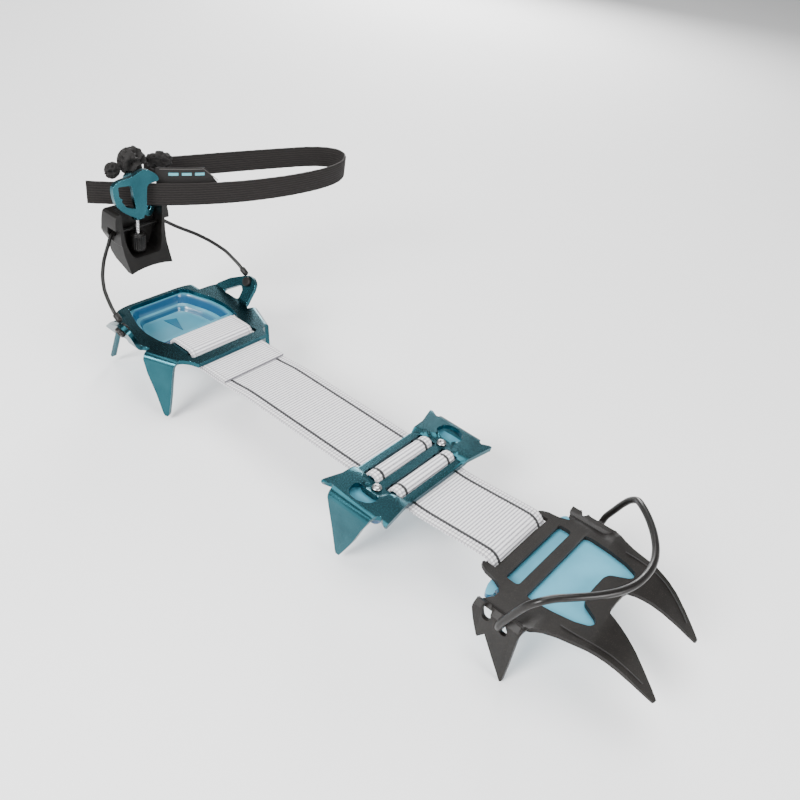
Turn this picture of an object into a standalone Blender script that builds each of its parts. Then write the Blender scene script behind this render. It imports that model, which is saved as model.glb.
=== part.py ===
"""Ski-touring crampon: steel toe plate, aluminium middle and heel plates on one webbing link.

Metres, +Z up. X is across the foot, the toe points to -Y and the heel to +Y. X = 0 is the
middle plane. The finished part's origin is on the middle plate's centre bar, where the sole rests.

The sizes below are in millimetres on a drawing whose Z = 0 is the top face of the webbing
between heel and middle. SEAT is the finished part's origin on that drawing. Pairs are (y, z).
"""
import math

import bmesh
import bpy
from mathutils import Vector
from mathutils.geometry import tessellate_polygon

MM = 0.001
SEAT = (0.0, -5.65, 3.1)

# Faces closer than this angle, in degrees, are one flat face
FLAT_ENOUGH = 0.5

# Webbing link
STRAP_WIDTH = 45.0
STRAP_THICK = 1.4
HINGE_GAP = 0.95
HINGE_HEEL = (106.6, -2.2)
HINGE_MID_REAR = (25.0, -0.7)
HINGE_MID_FRONT = (-27.0, -0.7)
HINGE_TOE = (-64.6, 2.3)

# Sheet metal
TOE_THICK = 2.2
TOE_TOP = 1.3
TOE_TILT = 0.055
MIDDLE_THICK = 2.5
MIDDLE_TOP = 3.1
WING_RISE = 1.5
HEEL_THICK = 2.5
HEEL_TOP = 2.8

# Toe bail
BAIL_AXIS = (-92.4, -3.3)
BAIL_RADIUS = 1.7

# Heel cable and lever
CABLE_RADIUS = 1.25
CABLE_AXIS = (168.6, 18.3)
LEVER_AXIS = (212.5, 43.0)
EAR_ANGLE = 63.0
SCREW_AT = (165.2, 14.5)
KNOB_AXIS = (-2.0, 209.5)
KNOB_RADIUS = 4.5
KNOB_SPAN = (30.2, 41.2)
ROD_RADIUS = 1.2

# Ankle strap
ANKLE_WIDTH = 13.2
ANKLE_THICK = 1.6
ANKLE_Z = 63.0

# Depth of a bundle's folds, as a share of its radius
LUMP_DEPTH = 0.16


def clear_scene():
    for item in list(bpy.data.objects):
        bpy.data.objects.remove(item, do_unlink=True)
    for item in list(bpy.data.meshes):
        bpy.data.meshes.remove(item)
    for item in list(bpy.data.materials):
        bpy.data.materials.remove(item)


def material(name, colour, metallic, roughness):
    found = bpy.data.materials.get(name)
    if found:
        return found
    made = bpy.data.materials.new(name)
    made.use_nodes = True
    shader = made.node_tree.nodes["Principled BSDF"]
    shader.inputs["Base Color"].default_value = (*colour, 1.0)
    shader.inputs["Metallic"].default_value = metallic
    shader.inputs["Roughness"].default_value = roughness
    made.diffuse_color = (*colour, 1.0)
    return made


def finish(name, bm, look, origin=(0, 0, 0)):
    """Turns a bmesh in millimetres into a named object in metres, with its origin at `origin`."""
    bmesh.ops.remove_doubles(bm, verts=bm.verts, dist=1e-4)
    bmesh.ops.recalc_face_normals(bm, faces=bm.faces)
    if bm.calc_volume(signed=True) < 0:
        bmesh.ops.reverse_faces(bm, faces=bm.faces)
    shift = Vector(origin)
    for vert in bm.verts:
        vert.co = (vert.co - shift) * MM
    mesh = bpy.data.meshes.new(name)
    bm.to_mesh(mesh)
    bm.free()
    item = bpy.data.objects.new(name, mesh)
    item.location = (shift - Vector(SEAT)) * MM
    item.data.materials.append(look)
    bpy.context.scene.collection.objects.link(item)
    return item


def mirrored(half):
    """Closes a half outline, drawn on x >= 0 from one end of the middle plane to the other."""
    other = [(-x, y) for x, y in reversed(half) if x > 1e-6]
    return list(half) + other


def rounded(points, radius, steps=3):
    """Rounds every corner of a closed outline."""
    out = []
    count = len(points)
    for i, here in enumerate(points):
        here = Vector(here)
        before = Vector(points[i - 1]) - here
        after = Vector(points[(i + 1) % count]) - here
        reach = min(radius, before.length * 0.45, after.length * 0.45)
        start = here + before.normalized() * reach
        end = here + after.normalized() * reach
        for k in range(steps + 1):
            t = k / steps
            spot = start * (1 - t) ** 2 + here * 2 * t * (1 - t) + end * t * t
            out.append((spot.x, spot.y))
    return out


def circle(centre, rx, ry, count=16, turn=0.0):
    out = []
    for k in range(count):
        a = 2 * math.pi * k / count
        x, y = rx * math.cos(a), ry * math.sin(a)
        out.append((centre[0] + x * math.cos(turn) - y * math.sin(turn),
                    centre[1] + x * math.sin(turn) + y * math.cos(turn)))
    return out


def stadium(first, second, radius, steps=7):
    """Outline of a slot with round ends about two centres."""
    along = (Vector(second) - Vector(first)).normalized()
    turn = math.atan2(along.y, along.x)
    out = []
    for centre, start in ((second, turn - math.pi / 2), (first, turn + math.pi / 2)):
        for k in range(steps):
            a = start + math.pi * k / (steps - 1)
            out.append((centre[0] + radius * math.cos(a), centre[1] + radius * math.sin(a)))
    return out


def smooth(points, per=6, closed=False):
    """Catmull-Rom curve through points of any dimension."""
    pts = [Vector(p) for p in points]
    count = len(pts)
    out = []
    for i in range(count if closed else count - 1):
        if closed:
            a, b, c, d = (pts[(i + k) % count] for k in (-1, 0, 1, 2))
        else:
            a, b = pts[max(i - 1, 0)], pts[i]
            c, d = pts[i + 1], pts[min(i + 2, count - 1)]
        for k in range(per):
            t = k / per
            out.append(0.5 * (2 * b + (c - a) * t + (2 * a - 5 * b + 4 * c - d) * t ** 2
                              + (3 * b - a - 3 * c + d) * t ** 3))
    if not closed:
        out.append(pts[-1])
    return out


def step(t):
    t = min(max(t, 0.0), 1.0)
    return t * t * (3 - 2 * t)


def touches(face, area):
    """Whether a flat face reaches into the box (x0, x1, y0, y1)."""
    xs = [v.co.x for v in face.verts]
    ys = [v.co.y for v in face.verts]
    return max(xs) > area[0] and min(xs) < area[1] and max(ys) > area[2] and min(ys) < area[3]


def sheet(name, outline, holes, surface, thickness, look, cuts):
    """Sheet part: a flat pattern with holes, cut along `cuts` and carried onto `surface`.

    surface(u, v) gives the middle face. thickness(u, v) is measured across it.
    """
    loops = [[Vector((x, y, 0)) for x, y in loop] for loop in [outline] + holes]
    flat = [p for loop in loops for p in loop]
    bm = bmesh.new()
    verts = [bm.verts.new(p) for p in flat]
    for tri in tessellate_polygon(loops):
        bm.faces.new([verts[i] for i in tri])
    for point, normal, area in cuts:
        faces = [f for f in bm.faces if touches(f, area)]
        geom = list({v for f in faces for v in f.verts} | {e for f in faces for e in f.edges})
        bmesh.ops.bisect_plane(bm, geom=geom + faces, dist=1e-4, plane_co=(*point, 0),
                               plane_no=(*normal, 0))
    bmesh.ops.triangulate(bm, faces=bm.faces)
    for face in bm.faces:
        if face.normal.z < 0:
            face.normal_flip()
    bm.verts.index_update()
    tiny = 1e-3
    upper, lower = [], []
    made = bmesh.new()
    for vert in bm.verts:
        u, v = vert.co.x, vert.co.y
        here = surface(u, v)
        du = surface(u + tiny, v) - surface(u - tiny, v)
        dv = surface(u, v + tiny) - surface(u, v - tiny)
        normal = du.cross(dv).normalized() * thickness(u, v) / 2
        upper.append(made.verts.new(here + normal))
        lower.append(made.verts.new(here - normal))
    for face in bm.faces:
        ids = [v.index for v in face.verts]
        made.faces.new([upper[i] for i in ids])
        made.faces.new([lower[i] for i in reversed(ids)])
    for edge in bm.edges:
        if len(edge.link_faces) == 1:
            a, b = (v.index for v in edge.verts)
            loop = edge.link_loops[0]
            if loop.vert.index != a:
                a, b = b, a
            made.faces.new([upper[b], upper[a], lower[a], lower[b]])
    bm.free()
    made.normal_update()
    bmesh.ops.dissolve_limit(made, angle_limit=math.radians(FLAT_ENOUGH), verts=made.verts,
                             edges=made.edges)
    bmesh.ops.triangulate(made, faces=made.faces)
    return finish(name, made, look)


def rolled(u, v, start, along, angle, radius):
    """Folds the flat point (u, v) about a line; positive angles go down. Gives x, y and z."""
    along = Vector(along).normalized()
    across = Vector((-along.y, along.x))
    offset = Vector((u, v)) - Vector(start)
    reach = offset.dot(across)
    if reach <= 0:
        return Vector((u, v, 0))
    base = Vector(start) + along * offset.dot(along)
    turn = math.radians(abs(angle))
    arc = min(reach / radius, turn)
    rest = max(reach - radius * turn, 0.0)
    out = radius * math.sin(arc) + rest * math.cos(turn)
    drop = radius * (1 - math.cos(arc)) + rest * math.sin(turn)
    spot = base + across * out
    return Vector((spot.x, spot.y, -drop if angle > 0 else drop))


def fold_cuts(start, along, angle, radius, area, steps=4):
    along = Vector(along).normalized()
    across = Vector((-along.y, along.x))
    arc = radius * math.radians(abs(angle))
    return [(tuple(Vector(start) + across * arc * k / steps), tuple(across), area)
            for k in range(steps + 1)]


def both_sides(cuts):
    return cuts + [((-p[0], p[1]), (-n[0], n[1]), (-a[1], -a[0], a[2], a[3])) for p, n, a in cuts]


def flange_points(start, along, pairs):
    """Flat positions of (distance along the fold line, distance past it) pairs."""
    along = Vector(along).normalized()
    across = Vector((-along.y, along.x))
    out = []
    for s, h in pairs:
        spot = Vector(start) + along * s + across * h
        out.append((spot.x, spot.y))
    return out


def prism(name, outline, low, high, look, axis="z", origin=(0, 0, 0)):
    """Closed prism: `outline` in the plane across `axis`, from `low` to `high` along it."""
    place = {"z": lambda a, b, c: (a, b, c),
             "y": lambda a, b, c: (a, c, b),
             "x": lambda a, b, c: (c, a, b)}[axis]
    bm = bmesh.new()
    lower = [bm.verts.new(place(a, b, low)) for a, b in outline]
    upper = [bm.verts.new(place(a, b, high)) for a, b in outline]
    count = len(outline)
    bm.faces.new(lower)
    bm.faces.new(upper)
    for i in range(count):
        k = (i + 1) % count
        bm.faces.new([lower[i], lower[k], upper[k], upper[i]])
    return finish(name, bm, look, origin)


def ribbon_outline(path, thick, round_start=False):
    """Outline of constant thickness around a path in a plane."""
    pts = [Vector(p) for p in path]
    left, right = [], []
    for i, here in enumerate(pts):
        before = pts[max(i - 1, 0)]
        after = pts[min(i + 1, len(pts) - 1)]
        along = (after - before).normalized()
        across = Vector((-along.y, along.x)) * thick / 2
        left.append(here + across)
        right.append(here - across)
    out = left + right[::-1]
    if round_start:
        out += arc_between(pts[0], right[0], left[0])
    return [(p.x, p.y) for p in out]


def arc_between(centre, first, last, steps=6):
    """Points of the half circle from first to last, both left out, turning clockwise."""
    start = first - centre
    out = []
    for k in range(1, steps):
        a = -math.pi * k / steps
        out.append(centre + Vector((start.x * math.cos(a) - start.y * math.sin(a),
                                    start.x * math.sin(a) + start.y * math.cos(a))))
    return out


def tube(name, path, radius, look, sides=12, origin=(0, 0, 0)):
    """Round rod or cable along a path, closed at both ends. radius may be one per point."""
    pts = [Vector(p) for p in path]
    radii = radius if isinstance(radius, list) else [radius] * len(pts)
    bm = bmesh.new()
    rings = []
    side = None
    for i, here in enumerate(pts):
        along = (pts[min(i + 1, len(pts) - 1)] - pts[max(i - 1, 0)]).normalized()
        if side is None:
            side = along.orthogonal().normalized()
        side = (side - along * side.dot(along)).normalized()
        other = along.cross(side)
        rings.append([bm.verts.new(here + (side * math.cos(2 * math.pi * k / sides)
                                           + other * math.sin(2 * math.pi * k / sides)) * radii[i])
                      for k in range(sides)])
    for first, second in zip(rings, rings[1:]):
        for k in range(sides):
            m = (k + 1) % sides
            bm.faces.new([first[k], first[m], second[m], second[k]])
    bm.faces.new(rings[0])
    bm.faces.new(rings[-1])
    return finish(name, bm, look, origin)


def loft(name, rings, look, origin=(0, 0, 0)):
    """Closed body through rings of equal length; the first and last ring are capped."""
    bm = bmesh.new()
    made = [[bm.verts.new(p) for p in ring] for ring in rings]
    count = len(made[0])
    for first, second in zip(made, made[1:]):
        for k in range(count):
            m = (k + 1) % count
            bm.faces.new([first[k], first[m], second[m], second[k]])
    bm.faces.new(made[0])
    bm.faces.new(made[-1])
    return finish(name, bm, look, origin)


def combine(target, other, operation):
    """Applies one exact boolean and removes the second body."""
    change = target.modifiers.new("change", "BOOLEAN")
    change.operation = operation
    change.solver = "EXACT"
    change.object = other
    bpy.context.view_layer.update()
    graph = bpy.context.evaluated_depsgraph_get()
    mesh = bpy.data.meshes.new_from_object(target.evaluated_get(graph))
    target.modifiers.remove(change)
    target.data = mesh
    bpy.data.objects.remove(other, do_unlink=True)
    return target


def parent_to(child, parent):
    bpy.context.view_layer.update()
    child.parent = parent
    child.matrix_parent_inverse = parent.matrix_world.inverted()


def helper(name, at):
    empty = bpy.data.objects.new(name, None)
    empty.empty_display_size = 0.01
    empty.location = (Vector(at) - Vector(SEAT)) * MM
    bpy.context.scene.collection.objects.link(empty)
    return empty


# ------------------------------------------------------------------ middle plate

def middle_surface(u, v):
    side = math.copysign(1.0, u)
    start = 21.5 + 8.0 * step(1.5 - abs(v + 5.1) / 6.5)
    rise = WING_RISE * step((abs(u) - start) / 3.8)
    spot = rolled(abs(u), v, (41.5, 0), (0, -1), 90, 3.25)
    return Vector((side * spot.x, spot.y, MIDDLE_TOP - MIDDLE_THICK / 2 + rise + spot.z))


def build_middle(look):
    flange = [(-9.0, 0.0), (-8.4, 5.0), (-6.9, 10.0), (-3.6, 20.0), (0.7, 34.6), (1.2, 36.0),
              (3.4, 36.1), (4.0, 34.8), (7.5, 27.5), (10.2, 21.5), (12.2, 16.0), (13.9, 11.0),
              (16.0, 6.5), (17.6, 2.0), (18.6, 0.0)]
    half = [(0, 11), (20.5, 11), (24.5, 12.2), (31.5, 12.4), (42.6, 15.7), (43.4, 15.0),
            (41.2, 10.4)]
    half += flange_points((41.5, 0), (0, -1), flange)
    half += [(41.0, -19.4), (40.6, -20.4), (43.4, -24.6), (42.6, -25.6), (27, -23.3), (20.5, -22.5),
             (0, -22.5)]
    slot_rear = rounded([(23.4, 6.8), (-23.4, 6.8), (-23.4, -3.3), (23.4, -3.3)], 0.8, 2)
    slot_front = rounded([(23.4, -8), (-23.4, -8), (-23.4, -18), (23.4, -18)], 0.8, 2)
    eye = rounded([(30.8, 2.2), (33.5, 3.6), (38.2, 2.6), (40.6, -0.5), (40.8, -5.0), (38.8, -9.6),
                   (35.2, -11.8), (31.6, -11.2)], 1.2, 2)
    eye_left = [(-x, y) for x, y in eye]
    rivet = circle((26, -5.1), 1.6, 1.6, 12)
    rivet_left = circle((-26, -5.1), 1.6, 1.6, 12)
    edge = (41.0, 90, -30, 30)
    wing = (20.5, 34.0, -30, 30)
    cuts = both_sides(fold_cuts((41.5, 0), (0, -1), 90, 3.25, edge))
    cuts += both_sides([((x, 0), (1, 0), wing) for x in (22.5, 24.8, 29.0, 31.0, 33.3)])
    cuts += both_sides([((0, y), (0, 1), wing) for y in (4.7, 1.5, -1.8, -8.4, -11.7, -15.0)])
    return sheet("middle_plate", mirrored(half),
                 [slot_rear, slot_front, eye, eye_left, rivet, rivet_left],
                 middle_surface, lambda u, v: MIDDLE_THICK, look["teal"], cuts)


def build_middle_antiball(look):
    base = rounded([(-36, 8.5), (36, 8.5), (36, -17.5), (-36, -17.5)], 6)
    body = prism("middle_antiball", base, -6.5, -2.4, look["plastic"])
    for side in (-1, 1):
        wing = rounded([(side * 24.6, 8.0), (side * 38.5, 8.0), (side * 39.4, -4.5),
                        (side * 38.5, -17.0), (side * 24.6, -17.0)], 3)
        block = prism("wing", wing, -5.0, 0.2, look["plastic"])
        combine(body, block, "UNION")
        hole = prism("hole", circle((side * 26, -5.1), 1.6, 1.6, 12), -10, 5, look["plastic"])
        combine(body, hole, "DIFFERENCE")
    return body


def build_rivet(name, side, look):
    rings = []
    for z, r in ((-7.4, 2.2), (-6.8, 2.4), (-6.75, 1.25), (3.3, 1.25), (3.35, 2.6), (4.1, 2.3),
                 (4.5, 1.4)):
        rings.append([(side * 26 + r * math.cos(2 * math.pi * k / 16),
                       -5.1 + r * math.sin(2 * math.pi * k / 16), z) for k in range(16)])
    return loft(name, rings, look["rivet"])


# ------------------------------------------------------------------ webbing link

def build_strap(name, path, look, round_start=False, origin=(0, 0, 0)):
    outline = ribbon_outline(path, STRAP_THICK, round_start)
    return prism(name, outline, -STRAP_WIDTH / 2, STRAP_WIDTH / 2, look["webbing"], "x", origin)


def build_webbing(look):
    hump = [(-0.3, -0.38), (0.35, -0.15), (0.95, 0.5), (1.75, 2.1), (2.6, 3.5), (3.6, 4.15),
            (5.0, 4.35)]
    middle = [(HINGE_MID_REAR[0] - HINGE_GAP, -0.7), (16, -0.7), (11.5, -0.68), (8.4, -0.55)]
    for high, low in ((6.8, -3.3), (-8.0, -18.0)):
        middle += [(high - d, z) for d, z in hump]
        middle += [(low + d, z) for d, z in reversed(hump[:-1])]
        middle += [(low - 2.2, -0.5)]
    middle += [(-23.5, -0.65), (HINGE_MID_FRONT[0] + HINGE_GAP, -0.7)]
    rear = [HINGE_MID_REAR, (45, -0.7), (70, -0.7), (88, -0.7), (95, -0.95),
            (101, -1.6), (HINGE_HEEL[0] - HINGE_GAP, -2.15)]
    front = [HINGE_MID_FRONT, (-31, -0.55), (-36, -0.15), (-46, 0.7), (-56, 1.6),
             (HINGE_TOE[0] + HINGE_GAP, 2.25)]
    toe = [HINGE_TOE, (-67.2, 2.25), (-69.4, 1.5), (-71.0, 0.1), (-72.2, -1.5), (-73.6, -2.6),
           (-75.0, -2.9), (-77.6, -2.9)]
    heel = [HINGE_HEEL, (112, -2.4), (126, -2.45), (146, -2.3), (151.0, -1.8), (153.5, -0.4),
            (154.3, 1.3), (153.5, 2.9), (151.2, 3.75), (147, 3.8), (141.4, 3.8), (138.4, 3.7),
            (136.4, 2.3), (135.0, 0.5), (133.4, -0.55), (130.8, -0.75), (126, -0.7), (118, -0.7),
            (108.6, -0.7)]
    parts = {}
    parts["middle"] = build_strap("webbing_middle", smooth(middle, 3), look)
    parts["rear"] = build_strap("webbing_rear", smooth(rear, 3), look, True,
                                (0, *HINGE_MID_REAR))
    parts["front"] = build_strap("webbing_front", smooth(front, 3), look, True,
                                 (0, *HINGE_MID_FRONT))
    parts["toe"] = build_strap("webbing_toe", smooth(toe, 3), look, True, (0, *HINGE_TOE))
    parts["heel"] = build_strap("webbing_heel", smooth(heel, 3), look, True,
                                (0, *HINGE_HEEL))
    return parts


# ------------------------------------------------------------------ toe plate

TOE_PROFILE = [(0, 0), (30.5, 0), (32.3, -0.15), (34.0, -0.8), (37.2, -3.0), (38.8, -3.75),
               (39.9, -3.1), (41.0, -1.6), (42.0, -1.0), (42.9, -1.3), (43.5, -2.6),
               (43.8, -4.6), (44.0, -40.0)]


def profile_table():
    table = [(0.0, Vector(TOE_PROFILE[0]))]
    total = 0.0
    dense = [Vector(TOE_PROFILE[0])] + smooth(TOE_PROFILE[1:-1], 4) + [Vector(TOE_PROFILE[-1])]
    for before, after in zip(dense, dense[1:]):
        total += (after - before).length
        table.append((total, after))
    return table


TOE_TABLE = profile_table()


def profile_at(s):
    for (s0, p0), (s1, p1) in zip(TOE_TABLE, TOE_TABLE[1:]):
        if s <= s1:
            return p0.lerp(p1, (s - s0) / (s1 - s0))
    return TOE_TABLE[-1][1]


def flange_s(z):
    """Distance along the toe profile at height z on the upright flange."""
    s_end, p_end = TOE_TABLE[-1]
    return s_end + (p_end.y - (z - TOE_TOP + TOE_THICK / 2))


def toe_drop(v):
    """How far the front points bend down at v."""
    table = [(-126, 0.0), (-130, 0.7), (-135, 2.3), (-140, 4.6), (-145, 7.7), (-150, 11.0),
             (-158, 16.9), (-165, 22.0)]
    if v >= table[0][0]:
        return 0.0
    for (v0, d0), (v1, d1) in zip(table, table[1:]):
        if v >= v1:
            return d0 + (d1 - d0) * (v0 - v) / (v0 - v1)
    return table[-1][1]


def toe_surface(u, v):
    side = math.copysign(1.0, u)
    crease = 3.5 * step((-86 - v) / 24) * (1 - step((abs(u) - 33.0) / 9.0))
    s = abs(u) + crease
    spot = profile_at(s)
    full = Vector((spot.x - crease, spot.y))
    flat = Vector((abs(u), 0.0))
    mixed = full.lerp(flat, step((-97 - v) / 9) * (1 - step((s - 41.0) / 3.0)))
    rise = TOE_TILT * max(-84 - v, 0.0) * step((46 - s) / 4)
    return Vector((side * mixed.x, v, TOE_TOP - TOE_THICK / 2 + mixed.y + rise - toe_drop(v)))


def toe_thickness(u, v):
    return TOE_THICK * (1 - 0.45 * step((-135 - v) / 23))


def build_toe(look):
    s = flange_s
    half = [(0, -73.9), (22.9, -73.9), (22.9, -69.6), (23.3, -67.8), (24.3, -67.4), (25.9, -68.8),
            (27.4, -71.6), (28.4, -77.0), (30.4, -81.0), (32.8, -82.6), (35.2, -82.4),
            (37.2, -80.4), (39.4, -78.4), (42.4, -77.4)]
    half += [(s(-4), -77.4), (s(-10), -79.6), (s(-17.6), -83.2), (s(-18.2), -83.9),
             (s(-14.0), -86.9), (s(-24), -93.4), (s(-33.4), -99.7), (s(-34.5), -100.4),
             (s(-33.6), -101.3), (s(-24), -101.5), (s(-14), -101.5), (s(-8), -101.4),
             (s(-4.8), -101.4), (s(-3.2), -101.6), (42.4, -102.4), (40.4, -104.2)]
    half += [(37.8, -108.4), (35.6, -114), (34.2, -120), (32.8, -126), (31.2, -132), (29.0, -140),
             (26.9, -146.5), (24.7, -153), (22.9, -157.5), (20.9, -157.7), (19.4, -154),
             (17.4, -148), (15.0, -141), (12.8, -134.5), (10.6, -128.5), (8.8, -124.4),
             (6.0, -123.6), (0, -123.4)]
    slot = rounded([(24, -80), (-24, -80), (-24, -86.8), (24, -86.8)], 1.8)
    opening = rounded(mirrored([(0, -92.7), (26.6, -92.7), (27.2, -96), (26.2, -106),
                                (24.4, -115.5), (21.8, -121.4), (18.8, -122.7), (16.2, -121.2),
                                (13.8, -117.2), (11.6, -113.6), (8.4, -112.2), (0, -112.0)]),
                      1.0, 2)
    holes = [slot, opening]
    for side in (1, -1):
        bail_hole = stadium((s(BAIL_AXIS[1]), BAIL_AXIS[0]),
                            (s(BAIL_AXIS[1] - 2.2), BAIL_AXIS[0] - 2.0), BAIL_RADIUS + 0.4)
        spare_hole = stadium((s(-1.2), -84.0), (s(-3.9), -85.0), 2.2)
        holes.append([(side * x, y) for x, y in bail_hole])
        holes.append([(side * x, y) for x, y in spare_hole])
    rail = (27.0, 90, -116, -60)
    side = (26.0, 52.0, -117, -84)
    point = (-60, 60, -170, -124)
    across = (31.0, 33.2, 35.6, 37.8, 39.6, 41.2, 42.6, 44.2, 46.2)
    cuts = both_sides([((x, 0), (1, 0), rail) for x in across])
    cuts += both_sides([((0, y), (0, 1), side) for y in (-90, -96, -101, -104.5, -108, -112)])
    cuts += [((0, y), (0, 1), point) for y in (-127.5, -131, -135, -139, -143, -147.5, -152.5)]
    return sheet("toe_plate", mirrored(half), holes, toe_surface, toe_thickness, look["steel"],
                 cuts)


def build_toe_antiball(look):
    outline = rounded(mirrored([(0, -75.2), (26, -75.2), (30.4, -75.6), (34.6, -77.0), (36.0, -78.2),
                                (35.4, -79.5), (34.2, -80.6), (32.8, -80.8), (31.4, -80.0),
                                (29.2, -80.6), (29.6, -90), (28.6, -104), (26.6, -116),
                                (24.0, -122.2), (19.5, -124.6), (15.4, -122.2), (12.2, -116.4),
                                (8.0, -114.4), (0, -114.2)]), 1.2, 2)

    def top(y):
        return -2.0 + TOE_TILT * max(-84 - y, 0.0)

    upper = [(x, y, top(y)) for x, y in outline]
    waist = [(x, y, top(y) - 2.4) for x, y in outline]
    under = [(x * 0.86, -98 + (y + 98) * 0.86, top(y) - 6.0) for x, y in outline]
    body = loft("toe_antiball", [upper, waist, under], look["plastic"])
    pocket = prism("pocket", [(-23.4, -60), (23.4, -60), (23.4, -78.4), (-23.4, -78.4)], -4.0, 3.0,
                   look["plastic"])
    return combine(body, pocket, "DIFFERENCE")


def build_bail(look):
    y, z = BAIL_AXIS
    right = [(42.7, y, z), (44.2, y, z), (45.6, y, z + 0.2), (46.9, y - 0.1, z + 1.6),
             (47.3, y - 0.8, z + 5.0), (47.2, -95.8, 8.0), (46.8, -98.2, 13.8), (45.8, -101.0, 19.0),
             (43.8, -104.4, 22.6), (39.8, -108.2, 24.4), (34.9, -112.9, 25.2), (29.8, -117.3, 25.5),
             (24.0, -121.6, 25.6), (16.6, -125.8, 25.6), (8.4, -128.6, 25.6), (0, -129.4, 25.6)]
    left = [(-x, b, c) for x, b, c in reversed(right[:-1])]
    return tube("toe_bail", smooth(right + left, 2), BAIL_RADIUS, look["wire"], 10,
                (0, *BAIL_AXIS))


# ------------------------------------------------------------------ heel plate

SIDE_ANGLE = 83.0
SIDE_FOLD = ((39.1, 153.5), (-7.2, -17.2))
REAR_FOLD = ((26.2, 199.0), (0, -1))
EAR_FOLD = ((38.0, 186.0), (0, -1))


def heel_surface(u, v):
    side = math.copysign(1.0, u)
    x = abs(u)
    spot = Vector((x, v, 0))
    side_reach = Vector((x, v)) - Vector(SIDE_FOLD[0])
    if v < 154.4 and side_reach.x * 0.922 - side_reach.y * 0.386 > 0:
        spot = rolled(x, v, *SIDE_FOLD, SIDE_ANGLE, 2.75)
    elif v > 190.0:
        spot = rolled(x, v, *REAR_FOLD, 90, 2.5)
    elif v > 154.8:
        spot = rolled(x, v, *EAR_FOLD, -EAR_ANGLE, 3.0)
    return Vector((side * spot.x, spot.y, HEEL_TOP - HEEL_THICK / 2 + spot.z))


def build_heel(look):
    half = [(0, 199.0), (18.0, 199.0), (22.6, 198.5), (25.4, 197.8)]
    half += flange_points(*REAR_FOLD, [(1.6, 0.3), (3.0, 3.0), (3.6, 7.5), (2.9, 12.6),
                                       (-4.3, 33.2), (-4.2, 34.0), (-2.9, 34.1), (-1.9, 33.0),
                                       (2.6, 20.0), (5.6, 11.0), (7.6, 5.0), (8.3, 2.0),
                                       (8.8, 0.3)])
    half += [(28.5, 189.7), (33.0, 189.6), (37.0, 189.3)]
    half += flange_points(*EAR_FOLD, [(-3.0, 0.6), (-0.6, 4.6), (7.3, 11.4), (17.5, 17.2),
                                      (20.6, 18.6), (23.7, 18.4), (26.2, 17.0), (27.4, 15.2),
                                      (27.9, 12.0), (27.2, 6.0), (27.0, 2.0), (27.4, 0.3)])
    half += [(36.2, 155.0), (38.0, 154.4)]
    half += flange_points(*SIDE_FOLD, [(-0.7, 0.9), (-0.4, 4.0), (2.6, 12.0), (8.2, 22.6),
                                       (13.2, 34.0), (14.3, 35.5), (16.2, 35.6), (16.9, 34.0),
                                       (17.5, 22.0), (17.6, 12.0), (17.9, 5.0), (18.6, 1.8),
                                       (19.4, 0.0)])
    half += [(29.6, 134.4), (27.0, 131.0), (26.0, 128.6), (25.2, 126.6), (0, 126.4)]
    slot = rounded([(24, 139.0), (-24, 139.0), (-24, 132.8), (24, 132.8)], 1.2, 2)
    opening = rounded(mirrored([(0, 196.6), (18.2, 196.6), (21.6, 194.0), (24.3, 186), (27.3, 178),
                                (28.8, 168), (27.8, 158), (25.2, 151.4), (0, 151.4)]), 1.5, 2)
    holes = [slot, opening]
    ear = flange_points(*EAR_FOLD, [(5.6, 2.4), (16.0, 10.4), (18.2, 10.4), (19.8, 8.2),
                                    (19.2, 1.6), (17.8, 0.6), (6.6, 0.6)])
    ear = rounded(ear, 1.2, 2)
    screw = circle((EAR_FOLD[0][0] + SCREW_AT[1], SCREW_AT[0]), 1.75, 1.75, 12)
    for side in (1, -1):
        holes.append([(side * x, y) for x, y in ear])
        holes.append([(side * x, y) for x, y in screw])
    cuts = both_sides(fold_cuts(*SIDE_FOLD, SIDE_ANGLE, 2.75, (27, 90, 100, 154.4))
                      + fold_cuts(*REAR_FOLD, 90, 2.5, (20, 90, 190.0, 250))
                      + fold_cuts(*EAR_FOLD, EAR_ANGLE, 3.0, (36.5, 90, 154.8, 190.0)))
    return sheet("heel_plate", mirrored(half), holes, heel_surface, lambda u, v: HEEL_THICK,
                 look["teal"], cuts)


def build_heel_antiball(look):
    rim = rounded(mirrored([(0, 198.2), (18.8, 198.2), (23.0, 194.8), (26.4, 186), (29.2, 178),
                            (30.8, 168), (29.8, 158.2), (0, 158.2)]), 3.0, 2)

    def ring(scale, z):
        return [(x * scale, 178 + (y - 178) * scale, z) for x, y in rim]

    rings = [ring(0.74, -9.4), ring(0.86, -1.2), ring(0.88, 0.0), ring(1.0, 0.0), ring(1.0, -1.3),
             ring(0.93, -1.5), ring(0.90, -3.0), ring(0.80, -10.8)]
    return loft("heel_antiball", rings, look["plastic"])


def ear_frame():
    """Centre of the right screw hole, the ear's outward normal and its upward direction."""
    turn = math.radians(EAR_ANGLE)
    rest = SCREW_AT[1] - 3.0 * turn
    x = EAR_FOLD[0][0] + 3.0 * math.sin(turn) + rest * math.cos(turn)
    z = HEEL_TOP - HEEL_THICK / 2 + 3.0 * (1 - math.cos(turn)) + rest * math.sin(turn)
    centre = Vector((x, SCREW_AT[0], z))
    outward = Vector((math.sin(turn), 0, -math.cos(turn)))
    return centre, outward


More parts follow.
